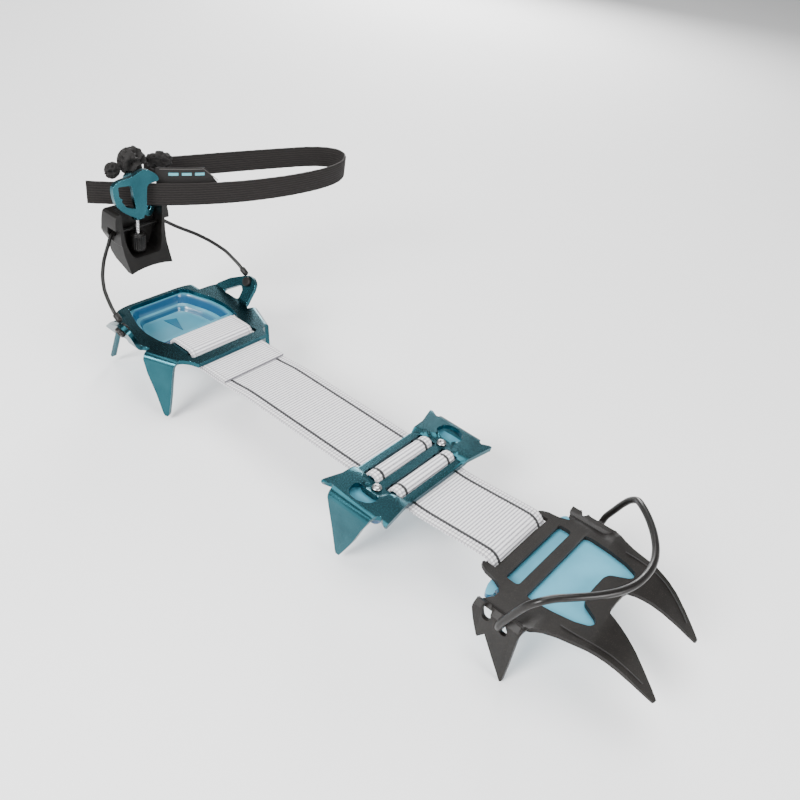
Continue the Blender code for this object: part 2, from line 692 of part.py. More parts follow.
def build_screw(name, side, look):
    centre, outward = ear_frame()
    across = Vector((0, 1, 0))
    up = outward.cross(across)
    rings = []
    for h, r in ((-2.9, 1.5), (-2.7, 2.9), (-1.45, 3.1), (-1.4, 1.45), (1.4, 1.45), (1.45, 3.2),
                 (3.2, 3.1), (3.5, 2.4)):
        ring = []
        for k in range(16):
            a = 2 * math.pi * k / 16
            p = centre + outward * h + (across * math.cos(a) + up * math.sin(a)) * r
            ring.append((side * p.x, p.y, p.z))
        rings.append(ring)
    return loft(name, rings, look["black"])


def build_cable(look):
    y, z = CABLE_AXIS
    ay, az = LEVER_AXIS
    right = [(45.8, y, z), (45.6, 172.4, 20.4), (45.3, 174.9, 22.0), (44.7, 177.8, 23.6),
             (43.3, 183.1, 26.8), (41.9, 186.4, 28.5), (38.3, 192.4, 31.6), (33.2, 198.6, 34.8),
             (29.9, 202.0, 36.4), (26.4, 205.2, 38.0), (22.9, 208.2, 39.8), (20.3, 210.4, 41.4),
             (18.3, 211.8, 42.5), (16.2, 212.4, 42.95), (14.0, ay, az), (7.0, ay, az), (0, ay, az)]
    left = [(-a, b, c) for a, b, c in reversed(right[:-1])]
    path = smooth(right + left, 2)
    return tube("heel_cable", path, CABLE_RADIUS, look["cable"], 10, (0, *CABLE_AXIS))


def build_cable_end(name, side, look):
    start = Vector((45.8, *CABLE_AXIS))
    along = (Vector((45.6, 172.4, 20.4)) - start).normalized()
    path, radii = [], []
    for d, r in ((-1.9, 0.7), (-1.5, 1.4), (-0.6, 1.8), (3.2, 1.8), (3.5, 1.6)):
        p = start + along * d
        path.append((side * p.x, p.y, p.z))
        radii.append(r)
    body = tube(name, path, radii, look["black"], 14, (side * 45.8, *CABLE_AXIS))
    far = start + along * 9
    near = start - along * 0.15
    bore = tube("bore", [(side * near.x, near.y, near.z), (side * far.x, far.y, far.z)],
                CABLE_RADIUS + 0.12, look["black"], 14)
    return combine(body, bore, "DIFFERENCE")


# ------------------------------------------------------------------ lever

def build_lever(look):
    half = [(0, 23.4), (5, 23.2), (10, 22.7), (14.6, 21.9), (15.0, 30), (15.2, 36.6), (17.8, 41.0),
            (18.8, 43.6), (18.4, 50), (17.6, 54.6), (16.4, 55.9), (0, 56.0)]
    front = mirrored(half)
    side = [(199.0, 22.0), (201.4, 21.2), (206.4, 23.6), (213.6, 26.4), (217.6, 29.6), (219.8, 35.0),
            (220.6, 44.0), (220.2, 54.5), (218.8, 59.4), (208.6, 59.4), (207.2, 54.5),
            (206.4, 39.0), (204.4, 32.0)]
    body = prism("lever_body", front, 190, 230, look["black"], "y")
    profile = prism("profile", side, -30, 30, look["black"], "x")
    combine(body, profile, "INTERSECT")
    pocket = rounded([(-9.4, 29.0), (9.4, 29.0), (12.0, 35), (13.8, 50), (14.0, 66), (-14.0, 66),
                      (-13.8, 50), (-12.0, 35)], 2.5, 3)
    combine(body, prism("pocket", pocket, 180, 215.4, look["black"], "y"), "DIFFERENCE")
    ay, az = LEVER_AXIS
    bore = tube("bore", [(-30, ay, az), (30, ay, az)], CABLE_RADIUS + 0.3, look["black"], 16)
    combine(body, bore, "DIFFERENCE")
    for side in (-1, 1):
        groove = prism("groove", [(190, 36.9), (214.4, 36.9), (214.4, 47.0), (190, 47.0)],
                       min(side * 15.4, side * 30), max(side * 15.4, side * 30), look["black"], "x")
        combine(body, groove, "DIFFERENCE")
    return body


def build_knob(look):
    x, y = KNOB_AXIS
    low, high = KNOB_SPAN
    rings = []
    count = 24
    for z, r, flute in ((low, 3.9, 0), (low + 0.5, KNOB_RADIUS, 0), (low + 1.6, KNOB_RADIUS, 0),
                        (low + 2.0, KNOB_RADIUS, 1), (high - 1.2, KNOB_RADIUS, 1),
                        (high - 0.6, KNOB_RADIUS - 0.2, 0), (high, 3.6, 0)):
        ring = []
        for k in range(count):
            a = 2 * math.pi * k / count
            rr = r - (0.3 if flute and k % 2 else 0.0)
            ring.append((x + rr * math.cos(a), y + rr * math.sin(a), z))
        rings.append(ring)
    for z in (high, low + 1.0):
        rings.append([(x + 1.5 * math.cos(2 * math.pi * k / count),
                       y + 1.5 * math.sin(2 * math.pi * k / count), z) for k in range(count)])
    return loft("adjuster_knob", rings, look["black"], (x, y, low))


def build_rod(look):
    x, y = KNOB_AXIS
    return tube("adjuster_rod", [(x, y, 37.0), (x, y, 37.5), (x, y, 53.2), (x, y, 53.6)],
                [0.9, ROD_RADIUS, ROD_RADIUS, 0.9], look["rod"], 16, (x, y, 37.0))


def build_buckle(look):
    x, y = KNOB_AXIS
    outer = smooth([(-4.4, 52.2), (-9.4, 55.0), (-15.2, 59.4), (-18.4, 64.2), (-19.6, 70.0),
                    (-19.2, 74.0), (-16.2, 76.2), (-11.9, 76.9), (-6.4, 77.4), (-2.0, 79.2),
                    (2.2, 79.8), (6.6, 77.6), (9.8, 75.0), (11.0, 72.4), (9.2, 71.3), (5.6, 71.2),
                    (3.0, 69.6), (2.4, 62.0), (1.9, 56.6), (0.8, 53.2), (-1.4, 51.8)], 2, True)
    outer = [(p.x, p.y) for p in outer]
    body = prism("strap_buckle", outer, 205.4, 207.8, look["teal"], "y")
    ring = rounded([(-16.2, 73.4), (-7.4, 72.4), (-5.0, 57.8), (-11.4, 60.4), (-14.4, 64.6),
                    (-13.4, 65.6), (-15.8, 67.2)], 1.0, 2)
    combine(body, prism("ring", ring, 200, 212, look["teal"], "y"), "DIFFERENCE")
    post = tube("post", [(x, y, 50.0), (x, y, 50.6), (x, y, 55.0), (x, y, 55.4)],
                [2.6, 3.1, 3.1, 2.6], look["teal"], 20)
    combine(body, post, "UNION")
    web = prism("web", [(x - 2.6, 51.0), (x + 2.6, 51.0), (x + 2.6, 55.0), (x - 2.6, 55.0)], 206.0,
                209.0, look["teal"], "y")
    combine(body, web, "UNION")
    hook = [(206.2, 71.9), (207.6, 71.6), (214.6, 71.6), (216.9, 70.8), (217.6, 66.0),
            (219.2, 65.8), (219.9, 67.0), (219.2, 72.4), (217.0, 74.6), (212.0, 76.4),
            (206.2, 77.2)]
    combine(body, prism("hook", hook, -3.2, 5.2, look["teal"], "x"), "UNION")
    bore = tube("bore", [(x, y, 45), (x, y, 54.0)], ROD_RADIUS + 0.25, look["teal"], 16)
    return combine(body, bore, "DIFFERENCE")


def build_anchor(look):
    outline = rounded([(4.6, 55.6), (4.8, 51.2), (6.8, 48.0), (9.2, 47.0), (11.6, 47.8), (13.2, 50.8),
                       (13.4, 55.6), (12.0, 61.5), (6.0, 61.5)], 1.2, 2)
    body = prism("strap_anchor", outline, 213.2, 215.1, look["teal"], "y")
    hole = prism("hole", circle((9.4, 52.4), 1.3, 1.3, 12), 200, 230, look["teal"], "y")
    return combine(body, hole, "DIFFERENCE")


# ------------------------------------------------------------------ ankle strap

def upright_ribbon(name, path, thick, width, look):
    """Band standing on edge: its centre line is in 3-D and its width is along Z."""
    pts = [Vector(p) for p in path]
    rings = []
    for i, here in enumerate(pts):
        along = pts[min(i + 1, len(pts) - 1)] - pts[max(i - 1, 0)]
        across = Vector((-along.y, along.x, 0)).normalized() * thick / 2
        rise = Vector((0, 0, width / 2))
        rings.append([here + across - rise, here - across - rise, here - across + rise,
                      here + across + rise])
    return loft(name, rings, look)


def lump(name, centre, size, look, turn, folds=5):
    """Rounded bundle of folded webbing."""
    rows, count = 9, 16
    rings = []
    for i in range(rows):
        t = -0.92 + 1.84 * i / (rows - 1)
        r0 = math.sqrt(max(1 - t * t, 0.05))
        ring = []
        for k in range(count):
            a = 2 * math.pi * k / count
            r = r0 * (1 + LUMP_DEPTH * math.sin(folds * a + 3 * t) + 0.07 * math.sin(2 * a + 7 * t))
            x, y = size[0] * r * math.cos(a), size[1] * r * math.sin(a)
            ring.append((centre[0] + x * math.cos(turn) - y * math.sin(turn),
                         centre[1] + x * math.sin(turn) + y * math.cos(turn),
                         centre[2] + size[2] * t))
        rings.append(ring)
    return loft(name, rings, look["fabric"])


def build_ankle(look):
    high = ANKLE_Z + ANKLE_WIDTH / 2
    loop = [(-21.0, 228.8), (-14.4, 223.7), (-7.0, 218.4), (2.0, 211.8), (15.0, 202.6), (31.0, 193.8),
            (47.0, 186.6), (64.0, 180.6), (87.0, 175.0), (112.0, 172.2), (130.0, 174.0),
            (141.5, 180.0), (145.6, 188.5), (141.5, 196.6), (131.0, 203.6), (117.0, 209.4),
            (92.0, 218.4), (72.0, 225.4), (54.0, 231.4), (38.0, 236.6), (26.0, 239.6)]
    count = len(loop) - 1
    centre = [(x, y, ANKLE_Z + 0.6 * step(i / 9) - 1.2 * step((i - 12) / (count - 12)))
              for i, (x, y) in enumerate(loop)]
    strap = upright_ribbon("ankle_strap", smooth(centre, 3), ANKLE_THICK, ANKLE_WIDTH,
                           look["elastic"])
    tag_path = [(11.4, 208.6), (20.0, 203.2), (31.0, 197.2), (45.0, 190.8)]
    path = smooth(tag_path, 3)
    outline = ribbon_outline(path, 1.0)
    tag = prism("label_tag", outline, high - 2.0, high + 8.4, look["fabric"], "z")
    slant = prism("slant", [(34.0, high + 10), (48.0, high + 10), (48.0, high - 3), (44.2, high - 3),
                            (35.6, high + 8.6)], 150, 250, look["fabric"], "y")
    combine(tag, slant, "DIFFERENCE")
    return strap, tag


def main():
    clear_scene()
    look = {
        "teal": material("anodised_teal", (0.05, 0.30, 0.36), 1.0, 0.32),
        "steel": material("coated_steel", (0.07, 0.06, 0.055), 0.7, 0.5),
        "plastic": material("clear_blue_plastic", (0.22, 0.55, 0.68), 0.0, 0.3),
        "wire": material("dark_wire", (0.05, 0.045, 0.04), 0.8, 0.4),
        "cable": material("coated_cable", (0.02, 0.02, 0.02), 0.0, 0.45),
        "black": material("black_plastic", (0.03, 0.03, 0.032), 0.0, 0.5),
        "rod": material("bright_rod", (0.6, 0.6, 0.6), 1.0, 0.25),
        "rivet": material("grey_rivet", (0.35, 0.33, 0.33), 0.9, 0.45),
        "webbing": material("white_webbing", (0.75, 0.74, 0.75), 0.0, 0.8),
        "elastic": material("black_elastic", (0.03, 0.028, 0.027), 0.0, 0.85),
        "fabric": material("black_fabric", (0.025, 0.024, 0.023), 0.0, 0.85),
    }
    middle = build_middle(look)
    for item in (build_middle_antiball(look), build_rivet("middle_rivet_left", -1, look),
                 build_rivet("middle_rivet_right", 1, look)):
        parent_to(item, middle)
    webbing = build_webbing(look)
    parent_to(webbing["middle"], middle)
    parent_to(webbing["rear"], middle)
    parent_to(webbing["front"], middle)

    toe = build_toe(look)
    parent_to(webbing["toe"], webbing["front"])
    parent_to(toe, webbing["toe"])
    for item in (build_toe_antiball(look), build_bail(look)):
        parent_to(item, toe)

    heel = build_heel(look)
    parent_to(webbing["heel"], webbing["rear"])
    parent_to(heel, webbing["heel"])
    for item in (build_heel_antiball(look), build_screw("pivot_screw_left", -1, look),
                 build_screw("pivot_screw_right", 1, look)):
        parent_to(item, heel)
    cable = build_cable(look)
    parent_to(cable, heel)
    for item in (build_cable_end("cable_end_left", -1, look),
                 build_cable_end("cable_end_right", 1, look)):
        parent_to(item, cable)
    pivot = helper("lever_pivot", (0, *LEVER_AXIS))
    parent_to(pivot, cable)
    for item in (build_lever(look), build_knob(look), build_anchor(look)):
        parent_to(item, pivot)
    rod = build_rod(look)
    parent_to(rod, pivot)
    strap, tag = build_ankle(look)
    bundles = [
        lump("strap_bundle_large", (7.5, 225.5, 76.8), (8.4, 6.6, 7.4), look, 0.3),
        lump("strap_bundle_small", (-7.2, 223.4, 74.8), (4.6, 3.3, 4.2), look, 0.2, 3),
        lump("strap_fold", (29.0, 228.9, 71.6), (7.4, 4.2, 4.8), look, -0.35, 3),
    ]
    for item in [build_buckle(look), strap, tag] + bundles:
        parent_to(item, rod)


main()
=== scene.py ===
"""Looks of the ski-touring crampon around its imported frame.

Sizes are in millimetres on the part's own drawing: X across the foot, -Y to the toe, +Y to the
heel, Z = 0 on the webbing's top face. SEAT is the row frame's origin on that drawing.
"""
import math

import bmesh
import bpy
from mathutils import Matrix, Vector, noise


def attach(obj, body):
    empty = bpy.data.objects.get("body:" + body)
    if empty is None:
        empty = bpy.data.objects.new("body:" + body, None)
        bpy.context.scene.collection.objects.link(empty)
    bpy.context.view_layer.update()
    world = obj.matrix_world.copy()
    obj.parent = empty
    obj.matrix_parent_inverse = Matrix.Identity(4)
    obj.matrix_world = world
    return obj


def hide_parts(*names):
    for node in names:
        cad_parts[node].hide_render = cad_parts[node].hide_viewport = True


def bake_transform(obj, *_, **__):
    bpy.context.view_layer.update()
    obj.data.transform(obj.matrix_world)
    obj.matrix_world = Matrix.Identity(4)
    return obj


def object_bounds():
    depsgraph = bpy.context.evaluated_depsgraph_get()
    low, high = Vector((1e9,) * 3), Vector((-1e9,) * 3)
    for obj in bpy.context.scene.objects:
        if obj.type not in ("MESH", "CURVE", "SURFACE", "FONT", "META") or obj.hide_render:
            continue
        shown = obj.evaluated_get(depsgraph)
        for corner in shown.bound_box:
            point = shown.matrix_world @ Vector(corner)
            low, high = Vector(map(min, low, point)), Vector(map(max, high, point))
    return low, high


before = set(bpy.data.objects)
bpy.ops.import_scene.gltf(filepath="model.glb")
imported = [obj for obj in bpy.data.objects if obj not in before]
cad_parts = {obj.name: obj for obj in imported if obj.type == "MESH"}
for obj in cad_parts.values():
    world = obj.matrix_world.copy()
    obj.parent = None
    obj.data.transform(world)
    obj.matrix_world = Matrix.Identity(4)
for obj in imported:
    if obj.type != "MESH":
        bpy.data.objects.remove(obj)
cad_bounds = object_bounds()

MM = 0.001
SEAT = Vector((0.0, -5.65, 3.1))

# Edge finish: vertices nearer than WELD_GAP (metres) are one, faces within FLAT_ANGLE are one
# flat, and edges sharper than EDGE_ANGLE are rounded
WELD_GAP = 1e-6
FLAT_ANGLE = math.radians(1.0)
EDGE_ANGLE = math.radians(28.0)

# Studio. Each light has a name, a place in metres, a size in metres and a power in watts
FLOOR_SIZE = 60.0
FLOOR_GAP = 0.0005
WORLD_LIGHT = 1.0
LIGHTS = (("key", (-1.0, 0.1, 0.7), 0.5, 26.0), ("fill", (-0.1, -1.3, 0.55), 0.7, 20.0),
          ("top", (0.1, 0.3, 1.5), 1.4, 26.0), ("rim", (1.2, 0.9, 0.5), 0.6, 18.0))

# Webbing
STRAP_WIDTH = 45.0
STRAP_THICK = 1.4
RIB_PITCH = 1.7
RIB_DEPTH = 0.22
LINE_OFFSET = 17.1
LINE_HALF = 0.85
SELVEDGE = 19.6
# Added to the distance along the band on its reverse face, which has no lines: whole ribs
REVERSE = 1000 * RIB_PITCH

# Wire, cable, lever and fasteners
BAIL_AXIS = (-92.4, -3.3)
BAIL_RADIUS = 1.7
CABLE_RADIUS = 1.05
CABLE_AXIS = (168.6, 18.3)
LEVER_AXIS = (212.5, 43.0)
KNOB_AXIS = (-2.0, 209.5)
EAR_ANGLE = math.radians(63.0)
SCREW_CENTRE = (45.75, 165.2, 13.2)
TRAY_CENTRE = 178.0
RIVET_AT = (26.0, -5.1)
THREAD_PITCH = 1.0

# Ankle strap
ANKLE_WIDTH = 13.2
ANKLE_THICK = 1.6
ANKLE_Z = 63.0
ANKLE_RIBS = 9
BAND_GAP = 1.6


# ------------------------------------------------------------------ shape helpers

def place(point):
    """Drawing millimetres to row-frame metres."""
    return (Vector(point) - SEAT) * MM


def step(t):
    """Smooth rise from 0 to 1 as t goes from 0 to 1."""
    t = min(max(t, 0.0), 1.0)
    return t * t * (3 - 2 * t)


def smooth(points, per):
    """Open Catmull-Rom curve through points of any dimension, with per steps between them."""
    pts = [Vector(p) for p in points]
    out = []
    for i in range(len(pts) - 1):
        a, b = pts[max(i - 1, 0)], pts[i]
        c, d = pts[i + 1], pts[min(i + 2, len(pts) - 1)]
        for k in range(per):
            t = k / per
            out.append(0.5 * (2 * b + (c - a) * t + (2 * a - 5 * b + 4 * c - d) * t ** 2
                              + (3 * b - a - 3 * c + d) * t ** 3))
    out.append(pts[-1])
    return out


def rounded(points, radius, steps=4):
    """Rounds every corner of a closed outline."""
    out = []
    count = len(points)
    for i, here in enumerate(points):
        here = Vector(here)
        before = Vector(points[i - 1]) - here
        after = Vector(points[(i + 1) % count]) - here
        reach = min(radius, before.length * 0.48, after.length * 0.48)
        start = here + before.normalized() * reach
        end = here + after.normalized() * reach
        for k in range(steps + 1):
            t = k / steps
            out.append(start * (1 - t) ** 2 + here * 2 * t * (1 - t) + end * t * t)
    return out


def spaced(points, gap):
    """The same path with points an even distance apart, and the distance along it at each."""
    pts = [Vector(p) for p in points]
    total = sum((b - a).length for a, b in zip(pts, pts[1:]))
    count = max(2, round(total / gap))
    out, i, done = [], 0, 0.0
    for k in range(count + 1):
        want = total * k / count
        while i < len(pts) - 2 and done + (pts[i + 1] - pts[i]).length < want:
            done += (pts[i + 1] - pts[i]).length
            i += 1
        length = (pts[i + 1] - pts[i]).length
        out.append((pts[i].lerp(pts[i + 1], min((want - done) / length, 1.0)), want))
    return out


def add_mesh(name, bm, *looks, sharp=40.0):
    bmesh.ops.recalc_face_normals(bm, faces=bm.faces)
    mesh = bpy.data.meshes.new(name)
    bm.to_mesh(mesh)
    bm.free()
    mesh.shade_smooth()
    mesh.set_sharp_from_angle(angle=math.radians(sharp))
    item = bpy.data.objects.new(name, mesh)
    for look in looks:
        mesh.materials.append(look)
    bpy.context.scene.collection.objects.link(item)
    return item


def loft(rings, uvs=None):
    """Capped mesh through rings of equal length. uvs gives (u, v) at ring i, point k, strip j."""
    bm = bmesh.new()
    made = [[bm.verts.new(place(p)) for p in ring] for ring in rings]
    count = len(made[0])
    layer = bm.loops.layers.uv.new("weave") if uvs else None
    for i, (first, second) in enumerate(zip(made, made[1:])):
        for k in range(count):
            m = (k + 1) % count
            face = bm.faces.new([first[k], first[m], second[m], second[k]])
            if uvs:
                marks = [uvs(i + a, k + b, k) for a, b in ((0, 0), (0, 1), (1, 1), (1, 0))]
                for loop, mark in zip(face.loops, marks):
                    loop[layer].uv = mark
    bm.faces.new(made[0])
    bm.faces.new(made[-1])
    return bm


def tube(path, radius, sides=24):
    """Rings round a path; radius is one number or one per point."""
    pts = [Vector(p) for p in path]
    radii = radius if isinstance(radius, list) else [radius] * len(pts)
    rings = []
    side = None
    for i, here in enumerate(pts):
        along = (pts[min(i + 1, len(pts) - 1)] - pts[max(i - 1, 0)]).normalized()
        if side is None:
            side = along.orthogonal().normalized()
        side = (side - along * side.dot(along)).normalized()
        other = along.cross(side)
        rings.append([here + (side * math.cos(2 * math.pi * k / sides)
                              + other * math.sin(2 * math.pi * k / sides)) * radii[i]
                      for k in range(sides)])
    return rings


def lathe(profile, centre, axis, sides=48, flutes=0, depth=0.0):
    """Turned body: profile is (distance along axis, radius, fluted 0 or 1)."""
    axis = Vector(axis).normalized()
    side = axis.orthogonal().normalized()
    other = axis.cross(side)
    rings = []
    for h, r, fluted in profile:
        ring = []
        for k in range(sides):
            a = 2 * math.pi * k / sides
            cut = depth * fluted * (0.5 + 0.5 * math.cos(flutes * a)) if flutes else 0.0
            ring.append(Vector(centre) + axis * h
                        + (side * math.cos(a) + other * math.sin(a)) * (r - cut))
        rings.append(ring)
    return rings


def refined(node, body, slot, look, width, edge=None, segments=2):
    """The CAD node's shape with its edges rounded, riding on its body in its place."""
    bm = bmesh.new()
    bm.from_mesh(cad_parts[node].data)
    bmesh.ops.remove_doubles(bm, verts=bm.verts, dist=WELD_GAP)
    bm.normal_update()
    bmesh.ops.dissolve_limit(bm, angle_limit=FLAT_ANGLE, verts=bm.verts, edges=bm.edges)
    for face in bm.faces:
        face.material_index = 0
    item = add_mesh(node + "_finish", bm, look, *([edge] if edge else []))
    cut = item.modifiers.new("edge", "BEVEL")
    cut.width = width * MM
    cut.segments = segments
    cut.limit_method = "ANGLE"
    cut.angle_limit = EDGE_ANGLE
    cut.miter_outer = "MITER_ARC"
    # An edge look goes on the rounded bevel faces only, as a painted highlight along the edges
    cut.material = 1 if edge else -1
    cut.use_clamp_overlap = True
    even = item.modifiers.new("even", "WEIGHTED_NORMAL")
    even.keep_sharp = True
    bpy.context.view_layer.update()
    graph = bpy.context.evaluated_depsgraph_get()
    mesh = bpy.data.meshes.new_from_object(item.evaluated_get(graph))
    item.modifiers.clear()
    item.data = mesh
    return settle(item, body, slot, node)


def settle(item, body, slot, *nodes):
    """Puts a finished piece on its body, in place of the CAD nodes named. The slot argument is not
    used.
    """
    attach(item, body)
    if nodes:
        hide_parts(*nodes)
    return item


# ------------------------------------------------------------------ materials

class Look:
    """A procedural material under construction."""

    def __init__(self, name, colour, metallic=0.0, roughness=0.5, **constants):
        self.made = bpy.data.materials.new(name)
        self.made.use_nodes = True
        self.tree = self.made.node_tree
        self.shader = self.tree.nodes["Principled BSDF"]
        self.shader.inputs["Base Color"].default_value = (*colour, 1.0)
        self.shader.inputs["Metallic"].default_value = metallic
        self.shader.inputs["Roughness"].default_value = roughness
        for key, value in constants.items():
            self.shader.inputs[key.replace("_", " ")].default_value = value
        self.made.diffuse_color = (*colour, 1.0)

    def node(self, kind, inputs=None, **settings):
        made = self.tree.nodes.new(kind)
        for key, value in settings.items():
            setattr(made, key, value)
        for key, value in (inputs or {}).items():
            if isinstance(value, bpy.types.NodeSocket):
                self.tree.links.new(value, made.inputs[key])
            else:
                made.inputs[key].default_value = value
        return made

    def math(self, operation, *values):
        made = self.node("ShaderNodeMath", dict(enumerate(values)), operation=operation)
        return made.outputs[0]

    def place(self):
        return self.node("ShaderNodeTexCoord").outputs["Object"]

    def noise(self, scale, detail=4.0, roughness=0.55, vector=None):
        made = self.node("ShaderNodeTexNoise", {"Vector": vector or self.place(), "Scale": scale,
                                                "Detail": detail, "Roughness": roughness})
        return made.outputs["Fac"]

    def ramp(self, value, *stops):
        made = self.node("ShaderNodeValToRGB", {0: value})
        ramp = made.color_ramp
        while len(ramp.elements) < len(stops):
            ramp.elements.new(0.5)
        for element, (at, colour) in zip(ramp.elements, stops):
            element.position = at
            element.color = (*colour, 1.0) if len(colour) == 3 else colour
        return made.outputs["Color"]

    def mix(self, share, first, second):
        made = self.node("ShaderNodeMix", {0: share, 6: first, 7: second}, data_type="RGBA")
        return made.outputs[2]

    def colour(self, socket):
        self.tree.links.new(socket, self.shader.inputs["Base Color"])

    def rough(self, value, low, high):
        made = self.node("ShaderNodeMapRange", {0: value, 3: low, 4: high})
        self.tree.links.new(made.outputs[0], self.shader.inputs["Roughness"])

    def bump(self, height, strength, distance):
        made = self.node("ShaderNodeBump", {"Height": height, "Strength": strength,
                                            "Distance": distance * MM})
        self.tree.links.new(made.outputs[0], self.shader.inputs["Normal"])

    def uv(self):
        found = self.node("ShaderNodeUVMap", uv_map="weave")
        split = self.node("ShaderNodeSeparateXYZ", {0: found.outputs[0]})
        return split.outputs[0], split.outputs[1]


def grey(value):
    return (value, value, value)


def anodised(name, dark, light, roughness):
    look = Look(name, dark, 1.0, roughness)
    grain = look.noise(2600.0, 3.0)
    cloud = look.noise(45.0, 3.0)
    both = look.math("MULTIPLY_ADD", grain, 0.15, look.math("MULTIPLY", cloud, 0.85))
    look.colour(look.ramp(both, (0.3, dark), (0.72, light)))
    look.rough(grain, roughness - 0.05, roughness + 0.09)
    look.bump(grain, 0.06, 0.01)
    return look.made


def coated_steel():
    look = Look("coated_steel", (0.008, 0.007, 0.0065), 0.0, 0.5, Specular_IOR_Level=0.22)
    grit = look.noise(3400.0, 2.0, 0.7)
    cloud = look.noise(60.0, 4.0)
    base = look.ramp(cloud, (0.3, (0.0055, 0.0048, 0.0044)), (0.75, (0.011, 0.0096, 0.0086)))
    fleck = look.ramp(grit, (0.60, grey(0.0)), (0.72, grey(1.0)))
    look.colour(look.mix(fleck, base, (0.055, 0.045, 0.038, 1.0)))
    look.rough(grit, 0.38, 0.6)
    look.bump(grit, 0.5, 0.05)
    return look.made


def steel_edge_highlight_look():
    # Lighter, more metallic steel for the rounded bevel faces: a painted highlight on the edges
    look = Look("steel_edge", (0.09, 0.08, 0.075), 0.8, 0.38)
    grit = look.noise(900.0, 4.0)
    look.colour(look.ramp(grit, (0.35, (0.012, 0.0105, 0.0095)), (0.7, (0.045, 0.039, 0.035))))
    look.rough(grit, 0.3, 0.5)
    return look.made


def translucent(name, colour, deep, transmission):
    """Clear plastic: colour on its level faces, deep on its upright walls, as painted light and shade
    by which way each face points.
    """
    look = Look(name, colour, 0.0, 0.22, Transmission_Weight=transmission, IOR=1.47,
                Coat_Weight=0.15)
    cloud = look.noise(38.0, 3.0)
    fine = look.noise(1500.0, 3.0)
    flat = look.ramp(cloud, (0.3, tuple(c * 0.8 for c in colour)), (0.7, colour))
    # Painted light and shade: level faces take the lighter colour, upright walls the darker deep
    # colour
    upright = look.node("ShaderNodeSeparateXYZ",
                        {0: look.node("ShaderNodeTexCoord").outputs["Normal"]}).outputs[2]
    level = look.ramp(look.math("ABSOLUTE", upright), (0.35, grey(0.0)), (0.85, grey(1.0)))
    look.colour(look.mix(level, (*deep, 1.0), flat))
    look.rough(fine, 0.16, 0.3)
    look.bump(fine, 0.12, 0.02)
    return look.made


def moulded_black():
    look = Look("black_plastic", (0.009, 0.008, 0.0075), 0.0, 0.42, Specular_IOR_Level=0.25)
    grain = look.noise(3800.0, 2.0)
    cloud = look.noise(70.0, 3.0)
    look.colour(look.ramp(cloud, (0.3, (0.0035, 0.0032, 0.003)), (0.7, (0.007, 0.0063, 0.0058))))
    look.rough(grain, 0.34, 0.52)
    look.bump(grain, 0.35, 0.03)
    return look.made


def coated_cable():
    look = Look("coated_cable", (0.006, 0.0055, 0.005), 0.0, 0.35, Specular_IOR_Level=0.3)
    grain = look.noise(1200.0, 3.0)
    look.colour(look.ramp(grain, (0.35, (0.0025, 0.0022, 0.002)), (0.7, (0.006, 0.0055, 0.005))))
    look.rough(grain, 0.25, 0.42)
    return look.made


def dark_wire():
    look = Look("dark_wire", (0.008, 0.007, 0.0065), 0.1, 0.34, Specular_IOR_Level=0.35)
    grain = look.noise(1400.0, 3.0)
    look.colour(look.ramp(grain, (0.3, (0.004, 0.0036, 0.0033)), (0.75, (0.012, 0.0105, 0.0095))))
    look.rough(grain, 0.24, 0.4)
    look.bump(grain, 0.2, 0.03)
    return look.made


def bright_steel(name, low, high):
    look = Look(name, grey(high), 1.0, 0.25)
    grain = look.noise(1600.0, 4.0)
    look.colour(look.ramp(grain, (0.3, grey(low)), (0.7, grey(high))))
    look.rough(grain, 0.18, 0.4)
    look.bump(grain, 0.15, 0.02)
    return look.made


def white_webbing():
    look = Look("white_webbing", (0.8, 0.79, 0.8), 0.0, 0.75, Sheen_Weight=0.15)
    across, along = look.uv()
    side = look.math("ABSOLUTE", across)
    # rib is lowest in the grooves between the ribs, so the ramp below paints shade into the grooves
    rib = look.math("PINGPONG", look.math("DIVIDE", along, RIB_PITCH), 0.5)
    yarn = look.math("PINGPONG", look.math("DIVIDE", across, 0.62), 0.5)
    fuzz = look.noise(1500.0, 5.0, 0.65)
    tone = look.math("MULTIPLY_ADD", yarn, 0.12, look.math("MULTIPLY_ADD", fuzz, 0.45, rib))
    cloth = look.ramp(tone, (0.22, (0.15, 0.145, 0.165)), (0.48, (0.55, 0.54, 0.565)),
                      (0.78, (0.86, 0.85, 0.865)))
    dots = look.math("MULTIPLY", look.math("PINGPONG", look.math("DIVIDE", along, 0.85), 1.0),
                     look.math("PINGPONG", look.math("DIVIDE", across, 1.1), 1.0))
    hem = look.ramp(dots, (0.05, (0.30, 0.29, 0.31)), (0.35, (0.72, 0.71, 0.72)))
    in_hem = look.math("GREATER_THAN", side, SELVEDGE)
    cloth = look.mix(in_hem, cloth, hem)
    off_line = look.math("ABSOLUTE", look.math("SUBTRACT", side, LINE_OFFSET))
    wander = look.math("MULTIPLY_ADD", look.noise(700.0), 0.16, LINE_HALF - 0.08)
    on_line = look.math("LESS_THAN", off_line, wander)
    on_line = look.math("MULTIPLY", on_line, look.math("LESS_THAN", along, REVERSE / 2))
    look.colour(look.mix(on_line, cloth, (0.009, 0.009, 0.011, 1.0)))
    look.rough(fuzz, 0.65, 0.9)
    height = look.math("MULTIPLY_ADD", yarn, 0.5, look.math("MULTIPLY", fuzz, 0.7))
    look.bump(height, 0.55, 0.12)
    return look.made


